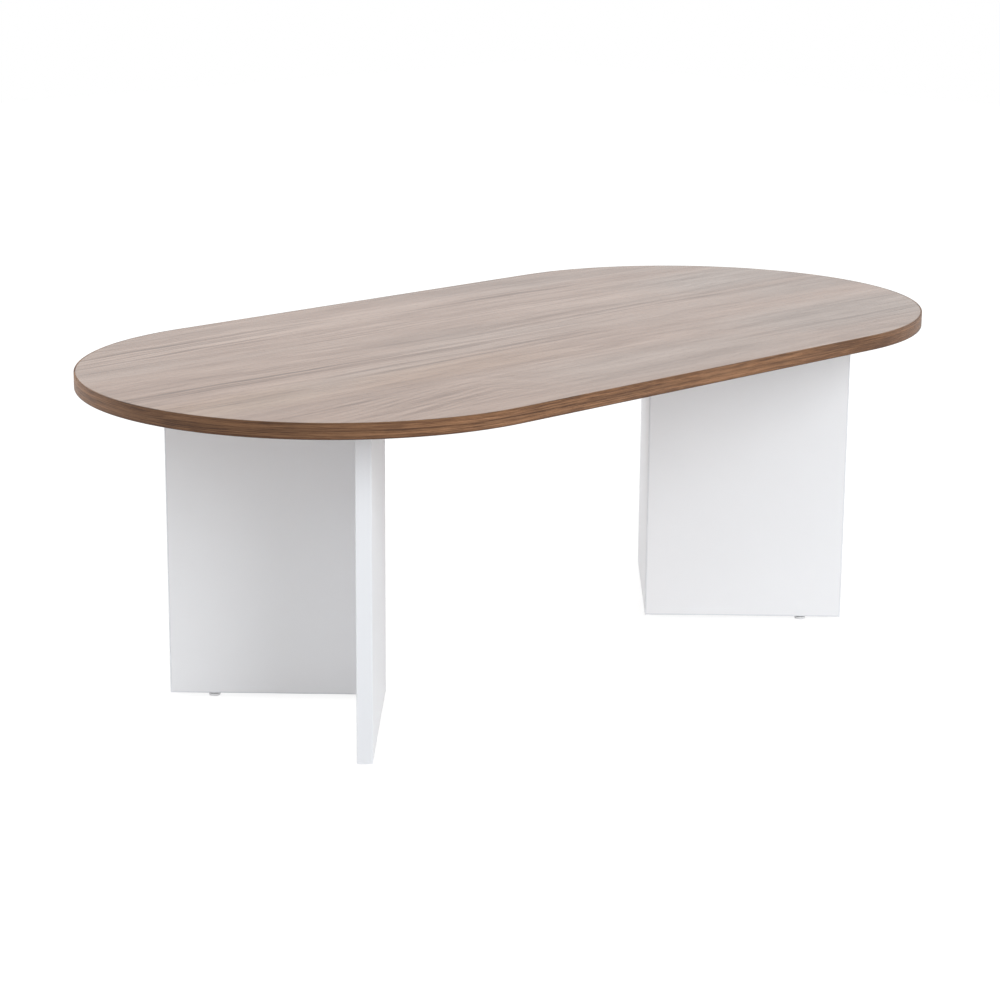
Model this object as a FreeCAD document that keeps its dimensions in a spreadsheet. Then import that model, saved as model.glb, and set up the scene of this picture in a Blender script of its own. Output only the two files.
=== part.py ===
import FreeCAD, Part
import math
import os

import Sketcher

Vector = FreeCAD.Vector

# Driving sizes of the table, in millimetres
SIZES = (
    ("table_length", 1200, "length of the top over its edge band"),
    ("table_width", 600, "width of the top over its edge band, twice the radius of its round ends"),
    ("top_thickness", 18, "thickness of the top"),
    ("top_band", 2, "thickness of the edge band round the top"),
    ("top_band_round", 0.6, "rounding of the edge band's two outer arrises"),
    ("band_seam", 0.2, "gap where the two ends of the top's edge band meet"),
    ("panel_height", 390, "height of a leg panel with its bottom band"),
    ("panel_thickness", 18, "thickness of a leg panel"),
    ("arm_length", 257, "arm of a leg, from the outside of its corner to its end"),
    ("corner_distance", 229, "from the middle of the table to the outside of each leg's corner"),
    ("leg_band", 2, "thickness of the legs' edge bands"),
    ("leg_band_round", 1.2, "rounding of the legs' edge bands along their outer arrises"),
    ("foot_inset", 52, "from the end of an arm to the middle of its foot"),
    ("foot_height", 5, "from the floor to the underside of a panel, with the foot screwed right in"),
    ("pad_diameter", 14, "diameter of a foot's pad"),
    ("pad_round", 1.2, "rounding under the rim of a pad"),
    ("pad_floor", 1, "thickness of a pad under the stem's button"),
    ("pad_lip", 1, "thickness of the lip that holds the button in the pad"),
    ("button_diameter", 7, "diameter of the button at the lower end of a stem"),
    ("button_neck", 5, "diameter of the neck above the button"),
    ("collar_flats", 10, "width across the flats of a stem's hexagon collar"),
    ("collar_height", 1.5, "height of the hexagon collar"),
    ("stem_diameter", 5.8, "diameter over a stem's thread"),
    ("stem_length", 22, "length of a stem above the underside of its panel"),
    ("stem_chamfer", 0.8, "chamfer on the tip of a stem"),
    ("stem_way_gap", 0.6, "gap round a stem in the hole that it runs up above its insert"),
    ("insert_diameter", 10, "outer diameter of a threaded insert"),
    ("insert_length", 13, "length of a threaded insert"),
    ("insert_barb", 0.4, "depth of the barbs round an insert"),
    ("insert_barb_pitch", 2.5, "distance from barb to barb"),
    ("insert_mouth", 0.6, "chamfer round the mouth of an insert"),
    ("cam_diameter", 15, "diameter of the bore for a cam"),
    ("cam_base", 1.4, "thickness of a cam below the chamber"),
    ("cam_recess", 0.3, "how far a cam's face lies below the face of its panel"),
    ("cam_floor_gap", 0.3, "gap between a cam and the floor of its bore"),
    ("cam_setback", 34, "from a joint's face to the middle of its cams"),
    ("cam_chamber", 10.4, "diameter of the chamber in a cam where the bolt's head lies"),
    ("cam_throw", 0.5, "how far the chamber lies off the cam's axis"),
    ("cam_chamfer", 0.4, "chamfer round the face of a cam"),
    ("cross_width", 1.6, "width of the cross slots in a cam's face"),
    ("cross_length", 7, "length of the cross slots in a cam's face"),
    ("cross_depth", 3, "depth of the cross slots in a cam's face"),
    ("cam_pitch", 128, "distance between the two cams at the top of a panel"),
    ("corner_cam_pitch", 192, "distance between the two cams of a corner"),
    ("cap_overlap", 1, "how far a cap reaches past the bore for its cam, all round"),
    ("cap_thickness", 1.2, "thickness of the cap over a cam"),
    ("cap_round", 0.6, "rounding of a cap's rim"),
    ("cap_peg_length", 2, "length of the peg that holds a cap in the cam's cross"),
    ("bolt_shank", 7, "diameter of a cam bolt's shank"),
    ("shank_gap", 0.5, "gap round a cam bolt's shank in its hole"),
    ("bolt_thread", 5.8, "diameter over a cam bolt's thread"),
    ("bolt_thread_length", 11, "how deep a cam bolt's thread goes into the other board"),
    ("bolt_tip", 1, "chamfer on the tip of a cam bolt"),
    ("bolt_neck", 3.8, "diameter of a cam bolt behind its head"),
    ("bolt_head", 6, "diameter of a cam bolt's head"),
    ("bolt_head_length", 3, "length of a cam bolt's head"),
    ("bolt_head_chamfer", 0.8, "chamfer on the end of a cam bolt's head"),
    ("dowel_diameter", 8, "diameter of a dowel"),
    ("dowel_length", 30, "length of a dowel"),
    ("dowel_face_depth", 11, "how deep a dowel goes into the face of a board"),
    ("dowel_chamfer", 1, "chamfer at both ends of a dowel"),
    ("dowel_pitch", 64, "distance between the two dowels at the top of a panel"),
    ("corner_dowel_pitch", 288, "distance between the two dowels of a corner"),
    ("fit_gap", 0.1, "gap all round a dowel, a cam, an insert, a bolt's thread and a moving stem"),
    ("end_gap", 1, "room left past the end of a dowel, a stem or a bolt's thread"),
    ("seat_gap", 0.1, "gap at a stem's collar and button, and where a bolt's head meets its cam"),
    ("head_gap", 0.3, "gap above and below a cam bolt's head or neck in the cam"),
)
# A leg's corner is square and looks along the table, so each arm stands at half a right angle
ARM_TURN = 45
INSERT_BARBS = 4

doc = FreeCAD.newDocument("coffee_table")
sizes = doc.addObject("Spreadsheet::Sheet", "sizes")
for row, (alias, number, meaning) in enumerate(SIZES, start=1):
    sizes.set(f"A{row}", meaning)
    sizes.set(f"B{row}", str(number))
    sizes.setAlias(f"B{row}", alias)
doc.recompute()


# Helpers that tie sketches and features to the sheet
def value(formula):
    """The number that a formula of the sheet's sizes gives."""
    return float(sizes.evalExpression(formula))


def new_body(name):
    return doc.addObject("PartDesign::Body", name)


def new_sketch(body, name, role, offset="0"):
    """A sketch on one of the body's own origin planes, moved along the plane's normal."""
    sketch = body.newObject("Sketcher::SketchObject", name)
    plane = next(feature for feature in body.Origin.OriginFeatures if feature.Role == role)
    sketch.AttachmentSupport = (plane, [""])
    sketch.MapMode = "FlatFace"
    sketch.setExpression("AttachmentOffset.Base.z", offset)
    return sketch


def tie(sketch, kind, where, formula):
    """A dimension of the sketch that follows the sheet."""
    index = sketch.addConstraint(Sketcher.Constraint(kind, *where, value(formula)))
    sketch.setExpression(f"Constraints[{index}]", formula)


def draw_outline(sketch, corners):
    """A closed outline of straight lines, each corner placed by two formulas."""
    points = [Vector(value(x), value(y), 0) for x, y in corners]
    lines = [
        sketch.addGeometry(Part.LineSegment(start, end))
        for start, end in zip(points, points[1:] + points[:1])
    ]
    for line, following, (x, y) in zip(lines, lines[1:] + lines[:1], corners):
        sketch.addConstraint(Sketcher.Constraint("Coincident", line, 2, following, 1))
        tie(sketch, "DistanceX", (-1, 1, line, 1), x)
        tie(sketch, "DistanceY", (-1, 1, line, 1), y)


def draw_rectangle(sketch, left, right, low, high):
    draw_outline(sketch, [(left, low), (right, low), (right, high), (left, high)])


def draw_circle(sketch, x, y, diameter):
    circle = Part.Circle(Vector(value(x), value(y), 0), Vector(0, 0, 1), value(diameter) / 2)
    index = sketch.addGeometry(circle)
    tie(sketch, "DistanceX", (-1, 1, index, 3), x)
    tie(sketch, "DistanceY", (-1, 1, index, 3), y)
    tie(sketch, "Diameter", (index,), diameter)


def draw_racetrack(sketch, inset):
    """The outline of the top, moved inwards: two straight sides and two half-round ends."""
    radius = f"sizes.table_width / 2 - {inset}"
    centre = "(sizes.table_length - sizes.table_width) / 2"
    r = value(radius)
    c = value(centre)
    upright = Vector(0, 0, 1)
    right_circle = Part.Circle(Vector(c, 0, 0), upright, r)
    left_circle = Part.Circle(Vector(-c, 0, 0), upright, r)
    right = sketch.addGeometry(Part.ArcOfCircle(right_circle, -math.pi / 2, math.pi / 2))
    back = sketch.addGeometry(Part.LineSegment(Vector(c, r, 0), Vector(-c, r, 0)))
    left = sketch.addGeometry(Part.ArcOfCircle(left_circle, math.pi / 2, 3 * math.pi / 2))
    front = sketch.addGeometry(Part.LineSegment(Vector(-c, -r, 0), Vector(c, -r, 0)))
    loop = [right, back, left, front]
    for curve, following in zip(loop, loop[1:] + loop[:1]):
        sketch.addConstraint(Sketcher.Constraint("Tangent", curve, 2, following, 1))
    for arc, side in ((right, ""), (left, "-")):
        sketch.addConstraint(Sketcher.Constraint("PointOnObject", arc, 3, -1))
        tie(sketch, "DistanceX", (-1, 1, arc, 3), f"{side}({centre})")
    sketch.addConstraint(Sketcher.Constraint("Equal", right, left))
    tie(sketch, "Radius", (right,), radius)


def pad(body, sketch, length):
    feature = body.newObject("PartDesign::Pad", f"{sketch.Name}_pad")
    feature.Profile = sketch
    feature.setExpression("Length", length)
    doc.recompute()
    return feature


def pocket(body, sketch, depth, backwards=False, both_ways=False):
    """Cuts the sketch into the body, and stops if that takes nothing away."""
    before = body.Shape.Volume
    feature = body.newObject("PartDesign::Pocket", f"{sketch.Name}_cut")
    feature.Profile = sketch
    feature.Reversed = backwards
    if both_ways:
        feature.SideType = "Symmetric"
    feature.setExpression("Length", depth)
    doc.recompute()
    if not body.Shape.Volume < before:
        raise RuntimeError(f"{feature.Name} in {body.Label} cuts nothing")
    return feature


def revolve(body, sketch):
    """Turns a half profile, drawn in radius and height, about the upright axis."""
    feature = body.newObject("PartDesign::Revolution", f"{sketch.Name}_turned")
    feature.Profile = sketch
    feature.ReferenceAxis = (sketch, ["V_Axis"])
    feature.Angle = 360
    doc.recompute()
    return feature


def soften(body, kind, size, chosen):
    """Rounds or chamfers those edges of the body that a test chooses."""
    base = body.Tip
    names = [f"Edge{n}" for n, edge in enumerate(base.Shape.Edges, start=1) if chosen(edge)]
    feature = body.newObject(f"PartDesign::{kind}", f"{body.Name}_{kind.lower()}")
    feature.Base = (base, names)
    feature.setExpression("Radius" if kind == "Fillet" else "Size", size)
    doc.recompute()
    return feature


def lies_at(edge, axis, formula):
    """True where the whole edge lies at one place along an axis."""
    box = edge.BoundBox
    place = value(formula)
    low = getattr(box, f"{axis}Min")
    high = getattr(box, f"{axis}Max")
    return abs(low - place) < 1e-4 and abs(high - place) < 1e-4


def rim_radius(edge):
    """The radius of a circular edge, or 0 for any other."""
    return edge.Curve.Radius if hasattr(edge.Curve, "Radius") else 0


# Where things are along the arms of a leg
# A leg's own frame starts at the outside of its corner, with X along the table towards its end.
# Along an arm is measured from there, and across it from the arm's outer face inwards.
THROUGH, BUTTED = "through", "butted"
MIDDLE = "(sizes.panel_thickness + sizes.arm_length) / 2"
HALF = "sizes.panel_thickness / 2"
FOOT = "(sizes.arm_length - sizes.foot_inset)"
ARM_END_INNER = "(sizes.arm_length - sizes.leg_band)"
TOP_CAMS = [f"({MIDDLE} {side} sizes.cam_pitch / 2)" for side in "-+"]
TOP_DOWELS = [f"({MIDDLE} {side} sizes.dowel_pitch / 2)" for side in "-+"]
CORNER_CAMS = [f"(sizes.panel_height / 2 {side} sizes.corner_cam_pitch / 2)" for side in "-+"]
CORNER_DOWELS = [f"(sizes.panel_height / 2 {side} sizes.corner_dowel_pitch / 2)" for side in "-+"]
TOP_CAM_LEVEL = "(sizes.panel_height - sizes.cam_setback)"
CORNER_CAM_PLACE = "(sizes.panel_thickness + sizes.cam_setback)"

# Holes, each a diameter and a depth that come from what lies in it
DOWEL_HOLE = "(sizes.dowel_diameter + 2 * sizes.fit_gap)"
DOWEL_IN_FACE = (DOWEL_HOLE, "sizes.dowel_face_depth + sizes.end_gap")
DOWEL_IN_EDGE = (DOWEL_HOLE, "sizes.dowel_length - sizes.dowel_face_depth + sizes.end_gap")
THREAD_IN_FACE = ("sizes.bolt_thread + 2 * sizes.fit_gap", "sizes.bolt_thread_length + sizes.end_gap")
BOLT_IN_EDGE = ("sizes.bolt_shank + 2 * sizes.shank_gap", "sizes.cam_setback")
HEAD_ROOM = "(sizes.bolt_head + 2 * sizes.head_gap)"
BOLT_DEPTH = f"({HALF} - sizes.cam_recess)"
CAM_HEIGHT = f"({BOLT_DEPTH} + {HEAD_ROOM} / 2 + sizes.cam_base)"
CAM_BORE = ("sizes.cam_diameter", f"sizes.cam_recess + {CAM_HEIGHT} + sizes.cam_floor_gap")
INSERT_HOLE = "(sizes.insert_diameter + 2 * sizes.fit_gap)"
INSERT_IN_PANEL = (INSERT_HOLE, "sizes.insert_length - sizes.leg_band")
INSERT_IN_BAND = (INSERT_HOLE, "sizes.leg_band")
STEM_WAY = "sizes.stem_diameter + 2 * sizes.stem_way_gap"
STEM_IN_PANEL = (STEM_WAY, "sizes.stem_length + sizes.end_gap - sizes.leg_band")


def on_arm(arm, along, across):
    """The X and Y of a place on an arm, in the frame of its leg."""
    x = f"({along} + {across}) * cos({ARM_TURN})"
    outwards = f"({along} - {across}) * sin({ARM_TURN})"
    return x, outwards if arm == BUTTED else f"-{outwards}"


def local_x(arm, along):
    """A place along an arm, in the frame of its panel: the through panel runs backwards in it."""
    return along if arm == BUTTED else f"-({along})"


LEGS = {"right": ("", 0), "left": ("-", 180)}
PANEL_TURN = {THROUGH: 180 - ARM_TURN, BUTTED: ARM_TURN}
ALONG_Z = Vector(0, 0, 1)


def stand_in_leg(item, leg, x="0", y="0", turn=0):
    """Places an item of a leg in the table: the left leg is the right one turned half round."""
    side, half_turn = LEGS[leg]
    item.Placement = FreeCAD.Placement(Vector(), FreeCAD.Rotation(ALONG_Z, half_turn + turn))
    item.setExpression("Placement.Base.x", f"{side}(sizes.corner_distance + {x})")
    item.setExpression("Placement.Base.y", f"{side}({y})")
    item.setExpression("Placement.Base.z", "sizes.foot_height")


# The top
def rest_on_legs(item):
    item.setExpression("Placement.Base.z", "sizes.foot_height + sizes.panel_height")


def make_top_board():
    """The board, drilled from below for one leg's fittings, and again half a turn round for the other's."""
    body = new_body("top_board")
    outline = new_sketch(body, "board_outline", "XY_Plane")
    draw_racetrack(outline, "sizes.top_band")
    pad(body, outline, "sizes.top_thickness")
    drillings = (
        ("thread_holes", TOP_CAMS, THREAD_IN_FACE),
        ("dowel_holes", TOP_DOWELS, DOWEL_IN_FACE),
    )
    for name, places, (diameter, depth) in drillings:
        holes = new_sketch(body, name, "XY_Plane")
        for arm in (THROUGH, BUTTED):
            for along in places:
                x, y = on_arm(arm, along, HALF)
                draw_circle(holes, f"sizes.corner_distance + {x}", y, diameter)
        drilled = pocket(body, holes, depth, backwards=True)
        both_legs = body.newObject("PartDesign::PolarPattern", f"{name}_both_legs")
        both_legs.Originals = [drilled]
        both_legs.Axis = (holes, ["N_Axis"])
        both_legs.Angle = 360
        both_legs.Occurrences = len(LEGS)
        body.Tip = both_legs
        doc.recompute()
    rest_on_legs(body)
    return body


def make_top_edge_band():
    """One strip round the board, whose ends meet in the middle of the back."""
    body = new_body("top_edge_band")
    outline = new_sketch(body, "band_outline", "XY_Plane")
    draw_racetrack(outline, "0")
    draw_racetrack(outline, "sizes.top_band")
    pad(body, outline, "sizes.top_thickness")

    def outer_arris(edge):
        half_width = max(abs(edge.BoundBox.YMin), abs(edge.BoundBox.YMax))
        flat = edge.BoundBox.ZLength < 1e-4
        return flat and half_width > value("sizes.table_width / 2 - sizes.top_band / 2")

    soften(body, "Fillet", "sizes.top_band_round", outer_arris)
    seam = new_sketch(body, "band_seam", "XY_Plane")
    back = "sizes.table_width / 2"
    draw_rectangle(
        seam,
        "-sizes.band_seam / 2",
        "sizes.band_seam / 2",
        f"{back} - 2 * sizes.top_band",
        f"{back} + sizes.top_band",
    )
    pocket(body, seam, "sizes.top_thickness", backwards=True)
    rest_on_legs(body)
    return body


# The leg panels, each in a frame of its own: outer face at Y 0, inner face at minus its thickness
# A face to drill is a plane, its place along the plane's normal, and whether holes run along that normal
INNER_FACE = ("XZ_Plane", "sizes.panel_thickness", False)
TOP_EDGE = ("XY_Plane", "sizes.panel_height", False)
BOTTOM_EDGE = ("XY_Plane", "sizes.leg_band", True)
BAND_UNDERSIDE = ("XY_Plane", "0", True)
JOINT_END = ("YZ_Plane", "sizes.panel_thickness", True)


def drill(body, name, face, places, hole):
    """Round holes of one diameter and depth, cut from one face."""
    role, offset, along_normal = face
    diameter, depth = hole
    holes = new_sketch(body, name, role, offset)
    for x, y in places:
        draw_circle(holes, x, y, diameter)
    pocket(body, holes, depth, backwards=along_normal)


def panel_ends(arm):
    """Where the board of an arm starts and ends between its bands, the lower place first."""
    start = "sizes.leg_band" if arm == THROUGH else "sizes.panel_thickness"
    ends = [local_x(arm, along) for along in (start, ARM_END_INNER)]
    return sorted(ends, key=value)


def make_panel(leg, arm):
    """A board inside its bands, drilled for its fittings."""
    body = new_body(f"{leg}_leg_{arm}_panel")
    outline = new_sketch(body, "panel_outline", "XZ_Plane")
    draw_rectangle(outline, *panel_ends(arm), "sizes.leg_band", "sizes.panel_height")
    pad(body, outline, "sizes.panel_thickness")

    cams = [(local_x(arm, along), TOP_CAM_LEVEL) for along in TOP_CAMS]
    if arm == BUTTED:
        cams += [(CORNER_CAM_PLACE, level) for level in CORNER_CAMS]
    drill(body, "cam_bores", INNER_FACE, cams, CAM_BORE)
    bolts = [(local_x(arm, along), f"-{HALF}") for along in TOP_CAMS]
    drill(body, "bolt_holes", TOP_EDGE, bolts, BOLT_IN_EDGE)
    dowels = [(local_x(arm, along), f"-{HALF}") for along in TOP_DOWELS]
    drill(body, "dowel_holes", TOP_EDGE, dowels, DOWEL_IN_EDGE)

    if arm == THROUGH:
        bolts = [(local_x(arm, HALF), level) for level in CORNER_CAMS]
        drill(body, "corner_thread_holes", INNER_FACE, bolts, THREAD_IN_FACE)
        dowels = [(local_x(arm, HALF), level) for level in CORNER_DOWELS]
        drill(body, "corner_dowel_holes", INNER_FACE, dowels, DOWEL_IN_FACE)
    else:
        bolts = [(f"-{HALF}", level) for level in CORNER_CAMS]
        drill(body, "corner_bolt_holes", JOINT_END, bolts, BOLT_IN_EDGE)
        dowels = [(f"-{HALF}", level) for level in CORNER_DOWELS]
        drill(body, "corner_dowel_holes", JOINT_END, dowels, DOWEL_IN_EDGE)

    foot = [(local_x(arm, FOOT), f"-{HALF}")]
    drill(body, "insert_hole", BOTTOM_EDGE, foot, INSERT_IN_PANEL)
    drill(body, "stem_hole", BOTTOM_EDGE, foot, STEM_IN_PANEL)
    stand_in_leg(body, leg, turn=PANEL_TURN[arm])
    return body


# The legs' edge bands
def make_end_band(leg, arm, name, inner, outer):
    """An upright strip on the end of a panel, its two outer arrises rounded."""
    body = new_body(f"{leg}_leg_{name}_band")
    outline = new_sketch(body, "band_section", "XY_Plane")
    ends = [local_x(arm, along) for along in (inner, outer)]
    draw_rectangle(outline, *sorted(ends, key=value), "-sizes.panel_thickness", "0")
    pad(body, outline, "sizes.panel_height")
    outside = local_x(arm, outer)

    def outer_arris(edge):
        return lies_at(edge, "X", outside) and edge.BoundBox.YLength < 1e-4

    soften(body, "Fillet", "sizes.leg_band_round", outer_arris)
    stand_in_leg(body, leg, turn=PANEL_TURN[arm])
    return body


def make_bottom_band(leg, arm):
    """A strip under a panel, between the end bands, with the hole for the foot's insert."""
    body = new_body(f"{leg}_leg_{arm}_bottom_band")
    outline = new_sketch(body, "band_outline", "XY_Plane")
    draw_rectangle(outline, *panel_ends(arm), "-sizes.panel_thickness", "0")
    pad(body, outline, "sizes.leg_band")

    def lower_arris(edge):
        return lies_at(edge, "Z", "0") and edge.BoundBox.YLength < 1e-4

    soften(body, "Fillet", "sizes.leg_band_round", lower_arris)
    foot = [(local_x(arm, FOOT), f"-{HALF}")]
    drill(body, "insert_hole", BAND_UNDERSIDE, foot, INSERT_IN_BAND)
    stand_in_leg(body, leg, turn=PANEL_TURN[arm])
    return body


# The levelling feet, each about its own axis with Z 0 at the underside of its panel
COLLAR_TOP = "-sizes.seat_gap"
COLLAR_UNDERSIDE = "(-sizes.seat_gap - sizes.collar_height)"
PAD_TOP = f"({COLLAR_UNDERSIDE} - sizes.seat_gap)"
LIP_UNDERSIDE = f"({PAD_TOP} - sizes.pad_lip)"
SOCKET_FLOOR = "(-sizes.foot_height + sizes.pad_floor)"
PAD_RADIUS = "sizes.pad_diameter / 2"
BUTTON_RADIUS = "sizes.button_diameter / 2"
NECK_RADIUS = "sizes.button_neck / 2"
STEM_RADIUS = "sizes.stem_diameter / 2"
INSERT_RADIUS = "sizes.insert_diameter / 2"


def make_insert(name):
    """A press-in sleeve with barbs outside and the stem's thread inside."""
    body = new_body(f"foot_insert_{name}")
    bore = f"({STEM_RADIUS} + sizes.fit_gap)"
    section = [
        (f"{bore} + sizes.insert_mouth", "0"),
        (INSERT_RADIUS, "0"),
    ]
    for barb in range(1, INSERT_BARBS + 1):
        level = f"{barb} * sizes.insert_barb_pitch"
        section.append((INSERT_RADIUS, level))
        section.append((f"{INSERT_RADIUS} - sizes.insert_barb", level))
    section += [
        (f"{INSERT_RADIUS} - sizes.insert_barb", "sizes.insert_length"),
        (bore, "sizes.insert_length"),
        (bore, "sizes.insert_mouth"),
    ]
    profile = new_sketch(body, "insert_section", "XZ_Plane")
    draw_outline(profile, section)
    revolve(body, profile)
    return body


def make_stem(name):
    """A threaded stem with a hexagon collar for a spanner and a button that turns in the pad."""
    body = new_body(f"foot_stem_{name}")
    button_low = f"{SOCKET_FLOOR} + sizes.seat_gap"
    button_high = f"{LIP_UNDERSIDE} - sizes.seat_gap"
    middle_of_collar = f"({COLLAR_TOP} + {COLLAR_UNDERSIDE}) / 2"
    section = [
        ("0", button_low),
        (BUTTON_RADIUS, button_low),
        (BUTTON_RADIUS, button_high),
        (NECK_RADIUS, button_high),
        (NECK_RADIUS, middle_of_collar),
        (STEM_RADIUS, middle_of_collar),
        (STEM_RADIUS, "sizes.stem_length - sizes.stem_chamfer"),
        (f"{STEM_RADIUS} - sizes.stem_chamfer", "sizes.stem_length"),
        ("0", "sizes.stem_length"),
    ]
    profile = new_sketch(body, "stem_section", "XZ_Plane")
    draw_outline(profile, section)
    revolve(body, profile)
    hexagon = new_sketch(body, "collar_hexagon", "XY_Plane", COLLAR_UNDERSIDE)
    corner_radius = "sizes.collar_flats / 2 / cos(30)"
    turns = [60 * corner for corner in range(6)]
    corners = [(f"{corner_radius} * cos({turn})", f"{corner_radius} * sin({turn})") for turn in turns]
    draw_outline(hexagon, corners)
    pad(body, hexagon, "sizes.collar_height")
    return body


def make_pad(name):
    """A round pad with a lipped socket that the stem's button snaps into."""
    body = new_body(f"foot_pad_{name}")
    mouth = f"{NECK_RADIUS} + sizes.seat_gap"
    socket = f"{BUTTON_RADIUS} + sizes.seat_gap"
    floor_level = "-sizes.foot_height"
    section = [
        ("0", floor_level),
        (PAD_RADIUS, floor_level),
        (PAD_RADIUS, PAD_TOP),
        (mouth, PAD_TOP),
        (mouth, LIP_UNDERSIDE),
        (socket, LIP_UNDERSIDE),
        (socket, SOCKET_FLOOR),
        ("0", SOCKET_FLOOR),
    ]
    profile = new_sketch(body, "pad_section", "XZ_Plane")
    draw_outline(profile, section)
    revolve(body, profile)
    rim = value(PAD_RADIUS)
    soften(
        body,
        "Fillet",
        "sizes.pad_round",
        lambda edge: lies_at(edge, "Z", floor_level) and abs(rim_radius(edge) - rim) < 1e-4,
    )
    return body


# The fittings, each about its own axis with Z 0 at the face of the joint it pulls together
def make_dowel():
    body = new_body("dowel")
    outline = new_sketch(body, "dowel_end", "XY_Plane", "-sizes.dowel_face_depth")
    draw_circle(outline, "0", "0", "sizes.dowel_diameter")
    pad(body, outline, "sizes.dowel_length")
    soften(body, "Chamfer", "sizes.dowel_chamfer", lambda edge: edge.BoundBox.ZLength < 1e-4)
    return body


def make_cam_bolt():
    """Screwed into one board as far as its shank, with its head held by the cam in the other."""
    body = new_body("cam_bolt")
    thread = "sizes.bolt_thread / 2"
    shank_end = "sizes.cam_setback - sizes.cam_diameter / 2 - sizes.end_gap"
    wall = "(sizes.cam_chamber / 2 - sizes.seat_gap)"
    grip = f"sqrt({wall}^2 - (sizes.bolt_head / 2)^2) - sizes.cam_throw"
    head_start = f"sizes.cam_setback - ({grip})"
    head_end = f"{head_start} + sizes.bolt_head_length"
    section = [
        ("0", "-sizes.bolt_thread_length"),
        (f"{thread} - sizes.bolt_tip", "-sizes.bolt_thread_length"),
        (thread, "-sizes.bolt_thread_length + sizes.bolt_tip"),
        (thread, "0"),
        ("sizes.bolt_shank / 2", "0"),
        ("sizes.bolt_shank / 2", shank_end),
        ("sizes.bolt_neck / 2", shank_end),
        ("sizes.bolt_neck / 2", head_start),
        ("sizes.bolt_head / 2", head_start),
        ("sizes.bolt_head / 2", f"{head_end} - sizes.bolt_head_chamfer"),
        ("sizes.bolt_head / 2 - sizes.bolt_head_chamfer", head_end),
        ("0", head_end),
    ]
    profile = new_sketch(body, "bolt_section", "XZ_Plane")
    draw_outline(profile, section)
    revolve(body, profile)
    return body


def make_cam():
    """A drum that grips the bolt's head: Z 0 at its face, the bolt coming in along +X, turned to lock."""
    body = new_body("cam")
    drum = new_sketch(body, "drum", "XY_Plane", f"-{CAM_HEIGHT}")
    draw_circle(drum, "0", "0", "sizes.cam_diameter - 2 * sizes.fit_gap")
    pad(body, drum, CAM_HEIGHT)
    soften(body, "Chamfer", "sizes.cam_chamfer", lambda edge: lies_at(edge, "Z", "0"))
    bolt_level = f"-{BOLT_DEPTH}"
    neck_room = "(sizes.bolt_neck + 2 * sizes.head_gap)"
    past_rim = "sizes.cam_diameter"

    chamber = new_sketch(body, "chamber", "XY_Plane", bolt_level)
    draw_circle(chamber, "-sizes.cam_throw", "0", "sizes.cam_chamber")
    pocket(body, chamber, HEAD_ROOM, both_ways=True)
    neck_slot = new_sketch(body, "neck_slot", "XY_Plane", bolt_level)
    draw_rectangle(neck_slot, f"-{past_rim}", past_rim, f"-{neck_room} / 2", past_rim)
    pocket(body, neck_slot, neck_room, both_ways=True)
    head_port = new_sketch(body, "head_port", "XY_Plane", bolt_level)
    draw_rectangle(head_port, f"-{past_rim}", "0", f"-{HEAD_ROOM} / 2", f"{HEAD_ROOM} / 2")
    pocket(body, head_port, HEAD_ROOM, both_ways=True)

    cross = new_sketch(body, "driver_cross", "XY_Plane")
    near, far = "sizes.cross_width / 2", "sizes.cross_length / 2"
    quarter = [(far, near), (near, near), (near, far)]
    corners = list(quarter)
    corners += [(f"-{x}", y) for x, y in reversed(quarter)]
    corners += [(f"-{x}", f"-{y}") for x, y in quarter]
    corners += [(x, f"-{y}") for x, y in reversed(quarter)]
    draw_outline(cross, corners)
    pocket(body, cross, "sizes.cross_depth")
    return body


def make_cap():
    """A cover over a cam, lying on the panel, with a peg that holds in the cam's cross."""
    body = new_body("cam_cap")
    disc = new_sketch(body, "cap_disc", "XY_Plane", "sizes.cam_recess")
    draw_circle(disc, "0", "0", "sizes.cam_diameter + 2 * sizes.cap_overlap")
    pad(body, disc, "sizes.cap_thickness")
    soften(
        body,
        "Fillet",
        "sizes.cap_round",
        lambda edge: lies_at(edge, "Z", "sizes.cam_recess + sizes.cap_thickness"),
    )
    peg = new_sketch(body, "cap_peg", "XY_Plane", "-sizes.cap_peg_length")
    draw_circle(peg, "0", "0", "sizes.cross_width - 2 * sizes.fit_gap")
    pad(body, peg, "sizes.cap_peg_length + sizes.cam_recess")
    return body


# Directions in a leg's frame: along each arm, which is also the way the other arm's inner face looks
UP = Vector(0, 0, 1)
DOWN = Vector(0, 0, -1)
ALONG = {
    THROUGH: Vector(1, -1, 0).normalize(),
    BUTTED: Vector(1, 1, 0).normalize(),
}
INWARDS = {THROUGH: ALONG[BUTTED], BUTTED: ALONG[THROUGH]}


def facing(axis, x_axis=None):
    """A turn that takes Z to an axis, and X to another one if that matters."""
    if x_axis is None:
        return FreeCAD.Rotation(ALONG_Z, axis)
    return FreeCAD.Rotation(x_axis, axis.cross(x_axis), axis, "ZXY")


def copy_of(fitting, arm, along, across, level, turn):
    """One fitting in its place in a leg's frame."""
    link = doc.addObject("App::Link", f"{fitting.Name}_copy")
    link.LinkedObject = fitting
    link.Placement = FreeCAD.Placement(Vector(), turn)
    x, y = on_arm(arm, along, across)
    link.setExpression("Placement.Base.x", x)
    link.setExpression("Placement.Base.y", y)
    link.setExpression("Placement.Base.z", level)
    return link


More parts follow.
